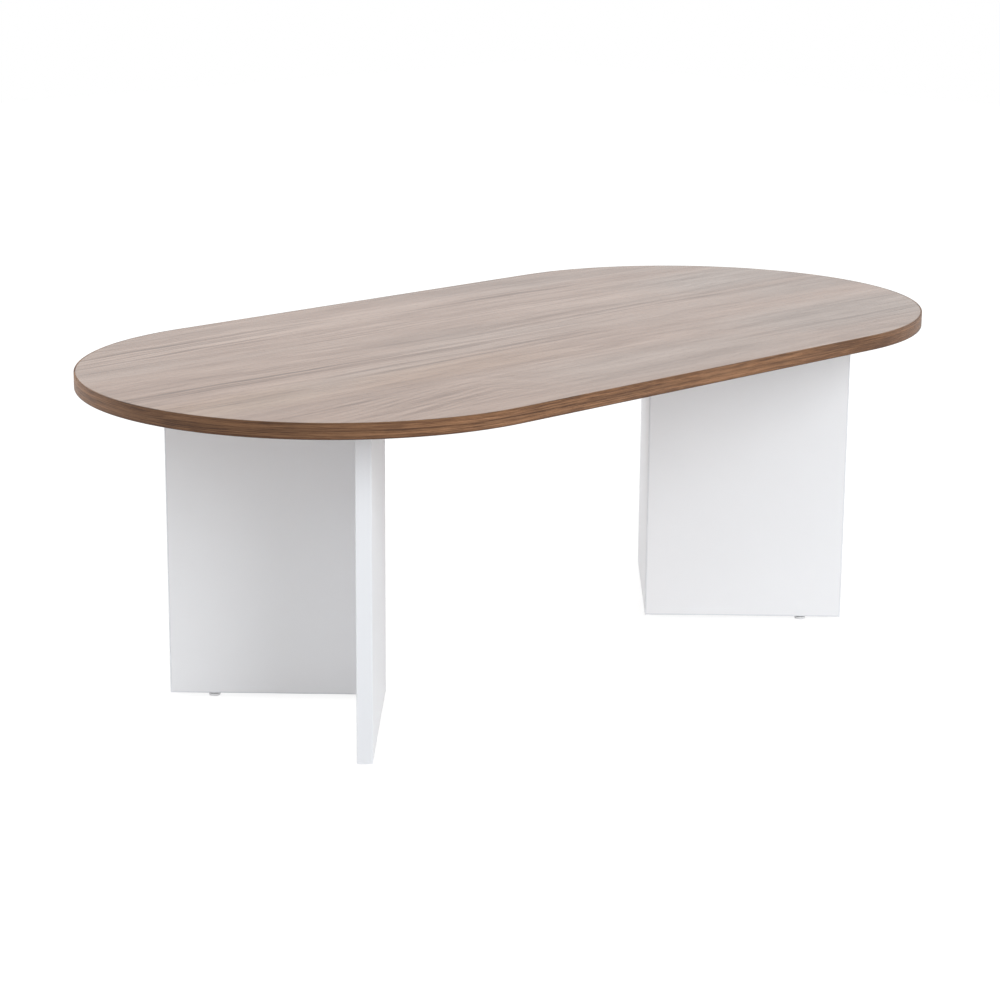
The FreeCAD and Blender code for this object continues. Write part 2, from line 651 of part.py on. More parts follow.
def leg_fittings(cam, cap, bolt, dowel):
    """The fittings of one leg by the name of their group, each group a list of copies."""
    cam_face = "(sizes.panel_thickness - sizes.cam_recess)"
    joint_top = "sizes.panel_height"
    groups = {"top_cams": [], "top_bolts": [], "top_dowels": [], "cam_caps": []}
    for arm in (THROUGH, BUTTED):
        looks_up = facing(INWARDS[arm], UP)
        for along in TOP_CAMS:
            groups["top_cams"].append(copy_of(cam, arm, along, cam_face, TOP_CAM_LEVEL, looks_up))
            groups["cam_caps"].append(copy_of(cap, arm, along, cam_face, TOP_CAM_LEVEL, looks_up))
            groups["top_bolts"].append(copy_of(bolt, arm, along, HALF, joint_top, facing(DOWN)))
        for along in TOP_DOWELS:
            groups["top_dowels"].append(copy_of(dowel, arm, along, HALF, joint_top, facing(DOWN)))
    looks_back = facing(INWARDS[BUTTED], -ALONG[BUTTED])
    along_joint = facing(ALONG[BUTTED])
    joint_face = "sizes.panel_thickness"
    groups["corner_cams"] = [
        copy_of(cam, BUTTED, CORNER_CAM_PLACE, cam_face, level, looks_back) for level in CORNER_CAMS
    ]
    groups["cam_caps"] += [
        copy_of(cap, BUTTED, CORNER_CAM_PLACE, cam_face, level, looks_back) for level in CORNER_CAMS
    ]
    groups["corner_bolts"] = [
        copy_of(bolt, BUTTED, joint_face, HALF, level, along_joint) for level in CORNER_CAMS
    ]
    groups["corner_dowels"] = [
        copy_of(dowel, BUTTED, joint_face, HALF, level, along_joint) for level in CORNER_DOWELS
    ]
    return groups


# The whole table
nodes = [make_top_board(), make_top_edge_band()]
for leg in LEGS:
    for arm in (THROUGH, BUTTED):
        nodes.append(make_panel(leg, arm))
        nodes.append(make_end_band(leg, arm, f"{arm}_end", ARM_END_INNER, "sizes.arm_length"))
        nodes.append(make_bottom_band(leg, arm))
    nodes.append(make_end_band(leg, THROUGH, "corner", "sizes.leg_band", "0"))

FEET = {
    "front_right": ("right", THROUGH),
    "back_right": ("right", BUTTED),
    "back_left": ("left", THROUGH),
    "front_left": ("left", BUTTED),
}
for name, (leg, arm) in FEET.items():
    x, y = on_arm(arm, FOOT, HALF)
    for piece in (make_insert(name), make_stem(name), make_pad(name)):
        stand_in_leg(piece, leg, x, y)
        nodes.append(piece)

groups = leg_fittings(make_cam(), make_cap(), make_cam_bolt(), make_dowel())
for leg in LEGS:
    for group_name, copies in groups.items():
        group = doc.addObject("Part::Compound", f"{leg}_leg_{group_name}")
        group.Links = copies
        stand_in_leg(group, leg)
        nodes.append(group)
doc.recompute()

# Nothing is written unless every object and every shape is sound
failed = [item.Label for item in doc.Objects if "Invalid" in item.State or "Error" in item.State]
if failed:
    raise RuntimeError(f"these objects failed: {failed}")
for node in nodes:
    if node.Shape.isNull() or not node.Shape.isValid():
        raise RuntimeError(f"{node.Label} has no sound shape")

os.makedirs("parts", exist_ok=True)
for node in nodes:
    node.Shape.exportStep(f"parts/{node.Label}.step")
    print(node.Label, len(node.Shape.Solids), "solids", round(node.Shape.Volume), "mm3")
print(len(nodes), "nodes")
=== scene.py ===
# %% [markdown]
# # A racetrack coffee table
# The table is a flat-pack one: a board with a walnut print and two rounded ends, on two arrowhead legs of
# white board that stand on screw-in feet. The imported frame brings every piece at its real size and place.
# This lesson gives each piece its finish, and models the pieces whose looks need more shape than the frame
# holds: the strip round the rim, and the threaded and fluted hardware.

import math

import bmesh
import bpy
from mathutils import Matrix, Vector


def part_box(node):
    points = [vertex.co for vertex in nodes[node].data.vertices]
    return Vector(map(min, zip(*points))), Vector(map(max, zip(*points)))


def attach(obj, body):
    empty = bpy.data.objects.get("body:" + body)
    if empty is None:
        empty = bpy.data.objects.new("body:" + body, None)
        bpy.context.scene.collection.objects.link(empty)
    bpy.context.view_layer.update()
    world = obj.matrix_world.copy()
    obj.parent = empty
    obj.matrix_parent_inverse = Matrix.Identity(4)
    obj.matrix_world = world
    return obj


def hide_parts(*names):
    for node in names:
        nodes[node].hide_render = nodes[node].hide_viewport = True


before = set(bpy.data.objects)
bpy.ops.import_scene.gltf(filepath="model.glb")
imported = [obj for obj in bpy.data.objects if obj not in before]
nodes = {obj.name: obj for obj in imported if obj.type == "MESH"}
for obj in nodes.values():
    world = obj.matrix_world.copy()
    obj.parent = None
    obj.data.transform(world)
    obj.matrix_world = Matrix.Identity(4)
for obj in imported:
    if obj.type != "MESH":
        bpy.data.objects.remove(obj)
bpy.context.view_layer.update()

# %% [markdown]
# ## The camera
# A render can only be compared with a photograph when both are taken from one place. The outline of the top
# and the corners of the legs fix that place, so it is written down here as a spot on the floor plan, a
# heading, a dip and a lens. The long lens keeps the upright edges of the legs nearly parallel.

# %% Stand the camera
CAMERA_PLACE = Vector((-2.2347, -2.2492, 1.0186))
CAMERA_HEADING = math.radians(44.30)
CAMERA_DIP = math.radians(14.46)
CAMERA_LEAN = math.radians(-0.44)
CAMERA_LENS_MM = 94.84


def stand_camera():
    """A camera that looks from CAMERA_PLACE, heading from +Y towards +X and dipping below the horizon."""
    heading = Matrix.Rotation(-CAMERA_HEADING, 4, "Z")
    dip = Matrix.Rotation(math.pi / 2 - CAMERA_DIP, 4, "X")
    lean = Matrix.Rotation(-CAMERA_LEAN, 4, "Z")
    camera = bpy.data.objects.new("camera", bpy.data.cameras.new("camera"))
    camera.data.lens = CAMERA_LENS_MM
    camera.matrix_world = Matrix.Translation(CAMERA_PLACE) @ heading @ dip @ lean
    bpy.context.scene.collection.objects.link(camera)
    bpy.context.scene.camera = camera
    return camera


camera = stand_camera()
print("camera at", tuple(camera.location), "with a lens of", camera.data.lens, "mm")

# %% [markdown]
# ## A short hand for shader graphs
# Finishes are graphs of nodes. Typed out in full, a graph hides its idea behind lines that make and join
# nodes, so a small class does the joining: each method adds one node and returns the socket to use next.

# %% Graph helper
NODE_SPACING = 190
MM_PER_METRE = 1000


class Graph:
    """Adds nodes to one shader tree. A value may be a number, a colour or another node's output."""

    def __init__(self, tree):
        self.tree = tree

    def add(self, kind, **settings):
        node = self.tree.nodes.new(kind)
        node.location = (NODE_SPACING * len(self.tree.nodes), -NODE_SPACING)
        for name, value in settings.items():
            setattr(node, name, value)
        return node

    def put(self, socket, value):
        if isinstance(value, bpy.types.NodeSocket):
            self.tree.links.new(value, socket)
        else:
            socket.default_value = value

    def fill(self, kind, values, **settings):
        """Adds a node and sets its inputs, from a list in their order or a dictionary of their names."""
        node = self.add(kind, **settings)
        for key, value in values.items() if isinstance(values, dict) else enumerate(values):
            self.put(node.inputs[key], value)
        return node.outputs

    def math(self, operation, *values):
        return self.fill("ShaderNodeMath", values, operation=operation)[0]

    def spread(self, value, low, high, new_low=0.0, new_high=1.0):
        """A value between low and high, taken smoothly to new_low and new_high."""
        values = (value, low, high, new_low, new_high)
        return self.fill("ShaderNodeMapRange", values, interpolation_type="SMOOTHSTEP")[0]

    def stretch(self, place, sizes):
        """A place scaled along each axis: a large number packs the pattern close along that axis."""
        return self.fill("ShaderNodeVectorMath", (place, sizes), operation="MULTIPLY")[0]

    def split(self, place):
        return self.fill("ShaderNodeSeparateXYZ", (place,))

    def join(self, x, y, z):
        return self.fill("ShaderNodeCombineXYZ", (x, y, z))[0]

    def noise(self, place, scale=1.0, detail=2.0, roughness=0.5):
        values = {"Vector": place, "Scale": scale, "Detail": detail, "Roughness": roughness}
        return self.fill("ShaderNodeTexNoise", values)["Fac"]

    def cells(self, place, scale):
        return self.fill("ShaderNodeTexVoronoi", {"Vector": place, "Scale": scale})["Color"]

    def mix(self, share, first, second, blend="MIX"):
        values = {"Factor": share, "A": first, "B": second}
        return self.fill("ShaderNodeMix", values, data_type="RGBA", blend_type=blend)["Result"]

    def ramp(self, value, stops):
        node = self.add("ShaderNodeValToRGB")
        self.put(node.inputs[0], value)
        band = node.color_ramp.elements
        while len(band) < len(stops):
            band.new(1.0)
        for element, (position, colour) in zip(band, stops):
            element.position = position
            element.color = (*colour, 1)
        return node.outputs[0]

    def bump(self, height, depth_mm, strength):
        values = {"Height": height, "Distance": depth_mm / MM_PER_METRE, "Strength": strength}
        return self.fill("ShaderNodeBump", values)[0]

    def own_place(self):
        return self.add("ShaderNodeTexCoord").outputs["Object"]

    def effect(self, group, **inputs):
        """Places a node group, sets its inputs by name and returns its outputs."""
        return self.fill("ShaderNodeGroup", inputs, node_tree=group)

    def shader(self, kind, **inputs):
        return self.fill(kind, inputs)[0]

    def choose(self, share, first, second):
        """The first shader where share is 0, and the second where it is 1."""
        return self.fill("ShaderNodeMixShader", (share, first, second))[0]


def new_group(name, inputs, outputs):
    """A node group with named sockets: its tree, a graph to fill, and its entry and exit sockets."""
    tree = bpy.data.node_groups.new(name, "ShaderNodeTree")
    for socket_name, kind, start in inputs:
        socket = tree.interface.new_socket(name=socket_name, in_out="INPUT", socket_type=kind)
        if start is not None:
            socket.default_value = start
    for socket_name, kind in outputs:
        tree.interface.new_socket(name=socket_name, in_out="OUTPUT", socket_type=kind)
    graph = Graph(tree)
    entry = graph.add("NodeGroupInput").outputs
    leave = graph.add("NodeGroupOutput").inputs
    return tree, graph, entry, leave


def new_finish(name):
    """A material with its graph and its Principled shader."""
    material = bpy.data.materials.new(name)
    material.use_nodes = True
    graph = Graph(material.node_tree)
    return material, graph, material.node_tree.nodes["Principled BSDF"].inputs


VECTOR, VALUE, COLOUR = "NodeSocketVector", "NodeSocketFloat", "NodeSocketColor"
print("shader graph helpers ready")

# %% [markdown]
# ## Light and floor
# The photograph is taken on white: light comes from everywhere, most of it from the front and the left, and
# no edge of the room shows. A pale sky and four wide lamps give that light. The lamps could be mirrored in
# the glossy top and bleach it where the view meets them, so they are hidden from reflections and the top
# mirrors only the white room. The white behind the table is not more light: the sky and the floor show rays
# from the camera, and from mirrors and glass, a plain white, and the floor keeps the table's soft shadow.
# Seen from below, the floor lets the view through, so that the feet and the underside can be looked at. A
# floor could be one sheet, but a foot that is screwed out would sink into it. So it is four squares, one
# under each foot, and each goes up and down with that foot's pad.

# %% World
SKY_COLOUR = (0.97, 0.985, 1.0, 1)
SKY_STRENGTH = 0.47
WHITE = (1, 1, 1, 1)


def seen_directly(graph):
    """1 for rays from the camera and for mirror and glass rays, which all should meet plain white."""
    path = graph.add("ShaderNodeLightPath").outputs
    mirrored = graph.math("MAXIMUM", path["Is Glossy Ray"], path["Is Transmission Ray"])
    return graph.math("MAXIMUM", path["Is Camera Ray"], mirrored)


def make_sky():
    world = bpy.data.worlds.new("white_room")
    world.use_nodes = True
    bpy.context.scene.world = world
    graph = Graph(world.node_tree)
    light = world.node_tree.nodes["Background"]
    graph.put(light.inputs["Color"], SKY_COLOUR)
    graph.put(light.inputs["Strength"], SKY_STRENGTH)
    backdrop = graph.shader("ShaderNodeBackground", Color=WHITE)
    choice = graph.choose(seen_directly(graph), light.outputs[0], backdrop)
    graph.put(world.node_tree.nodes["World Output"].inputs["Surface"], choice)
    return world


print("sky:", make_sky().name)

# %% Floor
FLOOR_HALF_WIDTH = 6.0
# The light that the floor gives back to the table, and what it shows: a glow, and a grey that takes shadows.
FLOOR_COLOUR = (0.90, 0.90, 0.90, 1)
FLOOR_GREY = (0.30, 0.30, 0.30, 1)
FLOOR_GLOW = 0.84
FEET = ("front_right", "back_right", "back_left", "front_left")


def make_floor_finish():
    material = bpy.data.materials.new("white_floor")
    material.use_nodes = True
    tree = material.node_tree
    tree.nodes.remove(tree.nodes["Principled BSDF"])
    graph = Graph(tree)
    bounce = graph.shader("ShaderNodeBsdfDiffuse", Color=FLOOR_COLOUR)
    grey = graph.shader("ShaderNodeBsdfDiffuse", Color=FLOOR_GREY)
    glow = graph.shader("ShaderNodeEmission", Strength=FLOOR_GLOW)
    white = graph.fill("ShaderNodeAddShader", (grey, glow))[0]
    above = graph.choose(seen_directly(graph), bounce, white)
    backfacing = graph.add("ShaderNodeNewGeometry").outputs["Backfacing"]
    finished = graph.choose(backfacing, above, graph.shader("ShaderNodeBsdfTransparent"))
    graph.put(tree.nodes["Material Output"].inputs["Surface"], finished)
    return material


def lay_floor_square(foot, finish):
    """The quarter of the floor that one foot stands on, which keeps under the foot's pad at every pose."""
    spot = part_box(f"foot_pad_{foot}")[0]
    west, east = sorted((0, math.copysign(FLOOR_HALF_WIDTH, spot.x)))
    south, north = sorted((0, math.copysign(FLOOR_HALF_WIDTH, spot.y)))
    mesh = bpy.data.meshes.new(f"floor_{foot}")
    corners = [(west, south, 0), (east, south, 0), (east, north, 0), (west, north, 0)]
    mesh.from_pydata(corners, [], [(0, 1, 2, 3)])
    mesh.materials.append(finish)
    square = bpy.data.objects.new(mesh.name, mesh)
    bpy.context.scene.collection.objects.link(square)
    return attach(square, f"pad_{foot}")


white_floor = make_floor_finish()
for foot in FEET:
    print("floor:", lay_floor_square(foot, white_floor).name)

# %% Lamps
# Each lamp is a round panel that faces the middle of the table: name, place, width, watts and colour.
COOL_LIGHT, WHITE_LIGHT, WARM_LIGHT = (0.965, 0.985, 1.0), (1.0, 1.0, 1.0), (1.0, 0.985, 0.96)
LAMPS = (
    ("front_panel", Vector((-0.4, -7.2, 3.5)), 5.6, 372, COOL_LIGHT),
    ("left_panel", Vector((-6.4, -2.9, 5.4)), 4.8, 66, WARM_LIGHT),
    ("back_panel", Vector((-5.0, 4.6, 2.6)), 4.0, 158, WHITE_LIGHT),
    ("high_panel", Vector((4.0, 3.0, 6.0)), 5.6, 110, WHITE_LIGHT),
)
TABLE_MIDDLE = Vector((0, 0, 0.3))


def hang_lamp(name, place, width, watts, colour):
    lamp = bpy.data.lights.new(name, "AREA")
    lamp.shape = "DISK"
    lamp.size = width
    lamp.energy = watts
    lamp.color = colour
    panel = bpy.data.objects.new(name, lamp)
    panel.visible_glossy = False
    panel.location = place
    panel.rotation_euler = (TABLE_MIDDLE - place).to_track_quat("-Z", "Y").to_euler()
    bpy.context.scene.collection.objects.link(panel)
    return panel


for lamp_facts in LAMPS:
    print("lamp:", hang_lamp(*lamp_facts).name)

# %% [markdown]
# ## Walnut print
# The top is chipboard under a printed paper and a hard resin skin, and the rim is a plastic strip with the
# same print. Wood of this cut has soft clouds, hairlines and short dark pores all over, and thin lines that
# lie in groups and fade out along the board. In one corner the lines bend into nested arches. Clouds, lines,
# hairs and pores are noises drawn out along the grain, from wide to fine, and the arches are the same lines,
# let down two slopes from a peak. One group makes the print, so that the top and the strip match.

# %% Walnut print group
WALNUT_DARK = (0.091, 0.037, 0.013)
WALNUT_DEEP = (0.164, 0.068, 0.024)
WALNUT_MIDDLE = (0.234, 0.101, 0.034)
WALNUT_PALE = (0.338, 0.157, 0.058)
WALNUT_STOPS = ((0.10, WALNUT_DARK), (0.34, WALNUT_DEEP), (0.52, WALNUT_MIDDLE), (0.88, WALNUT_PALE))
MIDDLE_TONE = 0.5
# Tints over the wood: a greyer one and a warmer one.
GREY_TINT = (0.66, 0.79, 1.10, 1)
WARM_TINT = (1.38, 1.48, 1.22, 1)
# How close each noise is packed along the grain, across it and from layer to layer, from wide to fine.
DRIFT_PACK, RIPPLE_PACK = (1.6, 5.0, 1.0), (7.0, 26.0, 1.0)
HAZE_PACK, CLOUD_PACK = (1.8, 7.0, 1.0), (2.2, 17.0, 1.0)
STREAK_PACK, HAIR_PACK, PORE_PACK = (2.6, 130.0, 1.0), (14.0, 640.0, 1.0), (70.0, 1700.0, 1.0)
# How far the grain bends, in metres, how far the tone swings, and where a noise starts and ends to count.
DRIFT_BEND, RIPPLE_BEND = 0.05, 0.012
STREAK_SWING, HAIR_SWING = 0.60, 0.75
HAZE_EDGES, PORE_EDGES, PORE_DARK = (0.45, 0.72), (0.60, 0.74), 0.5
# Groups of lines: middle along and across the board, half length, half width, strength.
LINE_GROUPS = (
    (-0.30, 0.203, 0.42, 0.050, 1.2),
    (0.08, 0.212, 0.34, 0.036, 0.8),
    (-0.28, 0.002, 0.50, 0.038, 0.9),
    (-0.16, -0.050, 0.34, 0.026, 1.0),
    (0.02, 0.124, 0.50, 0.018, 0.7),
    (0.34, -0.215, 0.32, 0.044, 0.6),
    (0.34, 0.030, 0.36, 0.030, 0.6),
)
LINES_PER_METRE = 190
LINE_STRAY = 2.2
LINE_EDGES, LINE_SWINGS = (0.38, 0.60), (-0.20, 0.12)
# The middle share of a patch that has its full strength.
PATCH_CORE = 0.25
# The nested arches: their patch, how far along the board they peak, how steeply their long and short arms
# fall, and how round the peak is.
ARCH_GROUP = (-0.34, -0.208, 0.24, 0.085, 0.55)
ARCH_PEAK = -0.245
ARCH_LONG_FALL, ARCH_SHORT_FALL = 0.16, 1.1
ARCH_ROUND = 0.03
WARM_PATCHES = ((-0.52, -0.085, 0.20, 0.060, 0.65), (-0.22, -0.098, 0.24, 0.055, 0.50))
COOL_PATCHES = (
    (0.49, 0.100, 0.24, 0.100, 0.8),
    (0.40, -0.175, 0.30, 0.110, 0.8),
    (0.52, -0.010, 0.20, 0.060, 0.6),
    (0.04, -0.225, 0.34, 0.100, 0.55),
)


def patch(graph, along, across, facts):
    """A soft patch on the board: its strength in the middle, 0 past its half length and half width."""
    middle_along, middle_across, half_length, half_width, strength = facts
    far = graph.math("ABSOLUTE", graph.math("SUBTRACT", along, middle_along))
    aside = graph.math("ABSOLUTE", graph.math("SUBTRACT", across, middle_across))
    lengthwise = graph.spread(far, PATCH_CORE * half_length, half_length, strength, 0.0)
    crosswise = graph.spread(aside, PATCH_CORE * half_width, half_width, 1.0, 0.0)
    return graph.math("MULTIPLY", lengthwise, crosswise)


def strongest_patch(graph, along, across, patches):
    """Several patches in one, with the strongest on top where they meet."""
    strongest = 0.0
    for facts in patches:
        strongest = graph.math("MAXIMUM", strongest, patch(graph, along, across, facts))
    return strongest


def centred(graph, value, amount):
    """A noise between 0 and 1, moved to lie evenly round 0 and scaled."""
    return graph.math("MULTIPLY_ADD", value, amount, -0.5 * amount)


def thin_lines(graph, along, across, layer):
    """Long thin lines at uneven steps across the grain, dark with pale wood between."""
    drawn_out = graph.math("MULTIPLY", along, LINE_STRAY)
    packed = graph.math("MULTIPLY", across, LINES_PER_METRE)
    uneven = graph.noise(graph.join(drawn_out, packed, layer), detail=1)
    return graph.spread(uneven, *LINE_EDGES, *LINE_SWINGS)


def make_walnut_print():
    tree, graph, entry, leave = new_group(
        "walnut print",
        [
            ("Place", VECTOR, None),
            ("Figure", VALUE, 1.0),
            ("Wander", VALUE, 1.0),
            ("Contrast", VALUE, 1.0),
            ("Clouds", VALUE, 0.58),
            ("Haze", VALUE, 0.5),
        ],
        [("Color", COLOUR), ("Lines", VALUE), ("Pores", VALUE)],
    )
    place = entry["Place"]
    drift = graph.noise(graph.stretch(place, DRIFT_PACK), detail=2)
    ripple = graph.noise(graph.stretch(place, RIPPLE_PACK), detail=2)
    bend = graph.math("ADD", centred(graph, drift, DRIFT_BEND), centred(graph, ripple, RIPPLE_BEND))
    along, across, layer = graph.split(place)
    straightened = graph.math("MULTIPLY_ADD", bend, entry["Wander"], across)
    grain = graph.join(along, straightened, layer)

    clouds = graph.noise(graph.stretch(grain, CLOUD_PACK), detail=3, roughness=0.55)
    streaks = graph.noise(graph.stretch(grain, STREAK_PACK), detail=4, roughness=0.6)
    hairs = graph.noise(graph.stretch(grain, HAIR_PACK), detail=3, roughness=0.6)
    pores = graph.spread(graph.noise(graph.stretch(grain, PORE_PACK), detail=1), *PORE_EDGES)

    lines = thin_lines(graph, along, straightened, layer)
    grouped = strongest_patch(graph, along, across, LINE_GROUPS)
    past_peak = graph.math("SUBTRACT", along, ARCH_PEAK)
    long_arm = graph.math("MULTIPLY", past_peak, -ARCH_LONG_FALL)
    short_arm = graph.math("MULTIPLY", past_peak, ARCH_SHORT_FALL)
    fall = graph.math("SMOOTH_MAX", long_arm, short_arm, ARCH_ROUND)
    arches = thin_lines(graph, along, graph.math("ADD", straightened, fall), layer)
    arched = patch(graph, along, across, ARCH_GROUP)
    line_part = graph.math("MULTIPLY", lines, grouped)
    figure = graph.math("MULTIPLY_ADD", arches, arched, line_part)
    figure = graph.math("MULTIPLY", figure, entry["Figure"])

    cloudy = graph.math("MULTIPLY", centred(graph, clouds, 1.0), entry["Clouds"])
    broad = graph.math("ADD", cloudy, centred(graph, streaks, STREAK_SWING))
    swing = graph.math("ADD", graph.math("ADD", broad, centred(graph, hairs, HAIR_SWING)), figure)
    tone = graph.math("MULTIPLY_ADD", swing, entry["Contrast"], MIDDLE_TONE)
    wood = graph.ramp(tone, WALNUT_STOPS)
    haze = graph.noise(graph.stretch(place, HAZE_PACK), detail=3)
    cool = graph.math("MULTIPLY", strongest_patch(graph, along, across, COOL_PATCHES), entry["Figure"])
    grey = graph.math("MAXIMUM", graph.spread(haze, *HAZE_EDGES, 0.0, entry["Haze"]), cool)
    greyed = graph.mix(grey, wood, GREY_TINT, "MULTIPLY")
    warm = graph.math("MULTIPLY", strongest_patch(graph, along, across, WARM_PATCHES), entry["Figure"])
    warmed = graph.mix(warm, greyed, WARM_TINT, "MULTIPLY")
    pored = graph.mix(graph.math("MULTIPLY", pores, PORE_DARK), warmed, (*WALNUT_DARK, 1))
    graph.put(leave["Color"], pored)
    graph.put(leave["Lines"], tone)
    graph.put(leave["Pores"], pores)
    return tree


walnut_print = make_walnut_print()
print("group:", walnut_print.name)

# %% [markdown]
# ## Chipboard core
# Where a board is cut and not covered, on its upper edges and in its bores, pressed wood chips show. Each
# chip is one cell of a pattern with its own brown, drawn out flat with the board.

# %% Chipboard group
CHIP_DARK, CHIP_MIDDLE, CHIP_PALE = (0.20, 0.11, 0.05), (0.42, 0.27, 0.14), (0.62, 0.46, 0.28)
CHIP_STOPS = ((0.1, CHIP_DARK), (0.5, CHIP_MIDDLE), (0.9, CHIP_PALE))
CHIPS_PER_METRE, FIBRES_PER_METRE = 420, 260
CHIP_PACK = (1.0, 1.0, 1.6)
CHIP_SHARE, FIBRE_SHARE = 0.7, 0.3


def make_chipboard():
    tree, graph, entry, leave = new_group("chipboard core", [("Place", VECTOR, None)], [("Color", COLOUR)])
    fibres = graph.noise(entry["Place"], scale=FIBRES_PER_METRE, detail=3)
    ragged = graph.math("MULTIPLY", fibres, FIBRE_SHARE)
    chips = graph.cells(graph.stretch(entry["Place"], CHIP_PACK), CHIPS_PER_METRE)
    shade = graph.math("MULTIPLY_ADD", graph.split(chips)[0], CHIP_SHARE, ragged)
    graph.put(leave["Color"], graph.ramp(shade, CHIP_STOPS))
    return tree


chipboard_core = make_chipboard()
print("group:", chipboard_core.name)

# %% [markdown]
# ## Pressed skin
# White board and moulded plastic are never perfectly even. The press or the mould leaves a fine orange peel,
# the white drifts by a percent or two, and rubbing makes some patches a little shinier. One group gives all
# three: a tone around 1, a gloss to add to the roughness, and a height.

# %% Pressed skin group
DRIFTS_PER_METRE = 7.0
RUB_PACK, RUB_GLOSS = (9.0, 9.0, 3.0), 0.12


def around_one(graph, noise, amount):
    """A tone that lies evenly round 1, from a noise between 0 and 1 and how far to sway."""
    return graph.math("MULTIPLY_ADD", centred(graph, noise, 1.0), amount, 1.0)


def make_pressed_skin():
    tree, graph, entry, leave = new_group(
        "pressed skin",
        [("Place", VECTOR, None), ("Peel", VALUE, 900.0), ("Drift", VALUE, 0.03)],
        [("Tone", COLOUR), ("Gloss", VALUE), ("Height", VALUE)],
    )
    peel = graph.noise(entry["Place"], scale=entry["Peel"], detail=2)
    cloud = graph.noise(entry["Place"], scale=DRIFTS_PER_METRE, detail=4, roughness=0.6)
    tone = around_one(graph, cloud, entry["Drift"])
    graph.put(leave["Tone"], graph.join(tone, tone, tone))
    rubbed = graph.noise(graph.stretch(entry["Place"], RUB_PACK), detail=3)
    graph.put(leave["Gloss"], centred(graph, rubbed, RUB_GLOSS))
    graph.put(leave["Height"], peel)
    return tree


pressed_skin = make_pressed_skin()
print("group:", pressed_skin.name)

# %% [markdown]
# ## Plated metal
# The fittings are zinc castings and zinc-plated steel. Plating shows as a faint mottling of tone and gloss
# with fine scratches that run any way, so one group makes mottling and scratches for every metal piece.

# %% Plating group
SCRATCH_PACK, SCRATCH_EDGES = (9000.0, 700.0, 2500.0), (0.62, 0.75)
SCRATCH_DARK, SCRATCH_ROUGH = -0.12, 0.10
PLATE_ROUGH, MOTTLE_ROUGH = 0.20, 0.25


def make_plating():
    tree, graph, entry, leave = new_group(
        "plating",
        [("Place", VECTOR, None), ("Mottle", VALUE, 700.0), ("Contrast", VALUE, 0.25)],
        [("Tone", COLOUR), ("Roughness", VALUE), ("Height", VALUE)],
    )
    mottle = graph.noise(entry["Place"], scale=entry["Mottle"], detail=4, roughness=0.6)
    lines = graph.noise(graph.stretch(entry["Place"], SCRATCH_PACK), detail=1)
    scratches = graph.spread(lines, *SCRATCH_EDGES)
    mottled = around_one(graph, mottle, entry["Contrast"])
    tone = graph.math("MULTIPLY_ADD", scratches, SCRATCH_DARK, mottled)
    graph.put(leave["Tone"], graph.join(tone, tone, tone))
    rough = graph.math("MULTIPLY_ADD", mottle, MOTTLE_ROUGH, PLATE_ROUGH)
    graph.put(leave["Roughness"], graph.math("MULTIPLY_ADD", scratches, SCRATCH_ROUGH, rough))
    graph.put(leave["Height"], graph.math("SUBTRACT", mottle, scratches))
    return tree


plating = make_plating()
print("group:", plating.name)

# %% [markdown]
# ## The walnut top
# The print lies under a hard resin skin. Seen from low down, the skin mirrors the white room and the brown
# turns pale, as in the photograph; seen from above, the brown shows. That is what a clear coat does, so the
# finish has one. The print runs along the table on both faces, and the cut wall of the board is chipboard.

# %% Walnut top finish
LAYER_STEP = 20.0
TOP_LEVEL = 0.5
TOP_ROUGH, LINE_ROUGH, PORE_ROUGH = 0.43, -0.10, 0.12
# The relief of a finish is its depth in millimetres and its strength.
TOP_RELIEF = (0.02, 0.5)
# From a dark tone of the print to a pale one, the coat goes from thin to thick.
COAT_TONES, COAT_WEIGHTS, COAT_ROUGH = (0.15, 0.75), (0.43, 0.90), 0.2


def level_face(graph, steep):
    """1 on faces that look up or down, where the upright share of the normal is past steep."""
    upward = graph.split(graph.add("ShaderNodeNewGeometry").outputs["Normal"])[2]
    return graph.math("GREATER_THAN", graph.math("ABSOLUTE", upward), steep)


def make_walnut_top():
    material, graph, shader = new_finish("walnut_top")
    place = graph.own_place()
    wood = graph.effect(walnut_print, Place=graph.stretch(place, (1.0, 1.0, LAYER_STEP)))
    core = graph.effect(chipboard_core, Place=place)
    faced = level_face(graph, TOP_LEVEL)
    graph.put(shader["Base Color"], graph.mix(faced, core["Color"], wood["Color"]))
    rough = graph.math("MULTIPLY_ADD", wood["Lines"], LINE_ROUGH, TOP_ROUGH)
    graph.put(shader["Roughness"], graph.math("MULTIPLY_ADD", wood["Pores"], PORE_ROUGH, rough))
    sunk = graph.math("SUBTRACT", wood["Lines"], wood["Pores"])
    graph.put(shader["Normal"], graph.bump(sunk, *TOP_RELIEF))
    graph.put(shader["Coat Weight"], graph.spread(wood["Lines"], *COAT_TONES, *COAT_WEIGHTS))
    graph.put(shader["Coat Roughness"], COAT_ROUGH)
    return material


walnut_top = make_walnut_top()
nodes["top_board"].material_slots[0].material = walnut_top
print("finish:", walnut_top.name)

# %% [markdown]
# ## The strip round the rim
# A plastic strip 2 mm thick is glued round the board, its grain along the rim. The frame's strip has the
# right shape, but nothing on it says which way is along. Sweeping a profile round the racetrack gives the
# same shape with a length to measure by: each point keeps how far along the rim and up the strip it lies.
# Along the lower edge a thin dark line is partly the plastic where trimming rubbed the print away, and
# partly painted shade of the edge that faces down.

# %% Sweep the strip
# The frame draws its ends as short straight lines, a hair inside the arcs, so the true length stands here.
TABLE_LENGTH = 1.2
STRIP_THICKNESS, STRIP_ROUND, STRIP_SEAM = 0.002, 0.0006, 0.0002
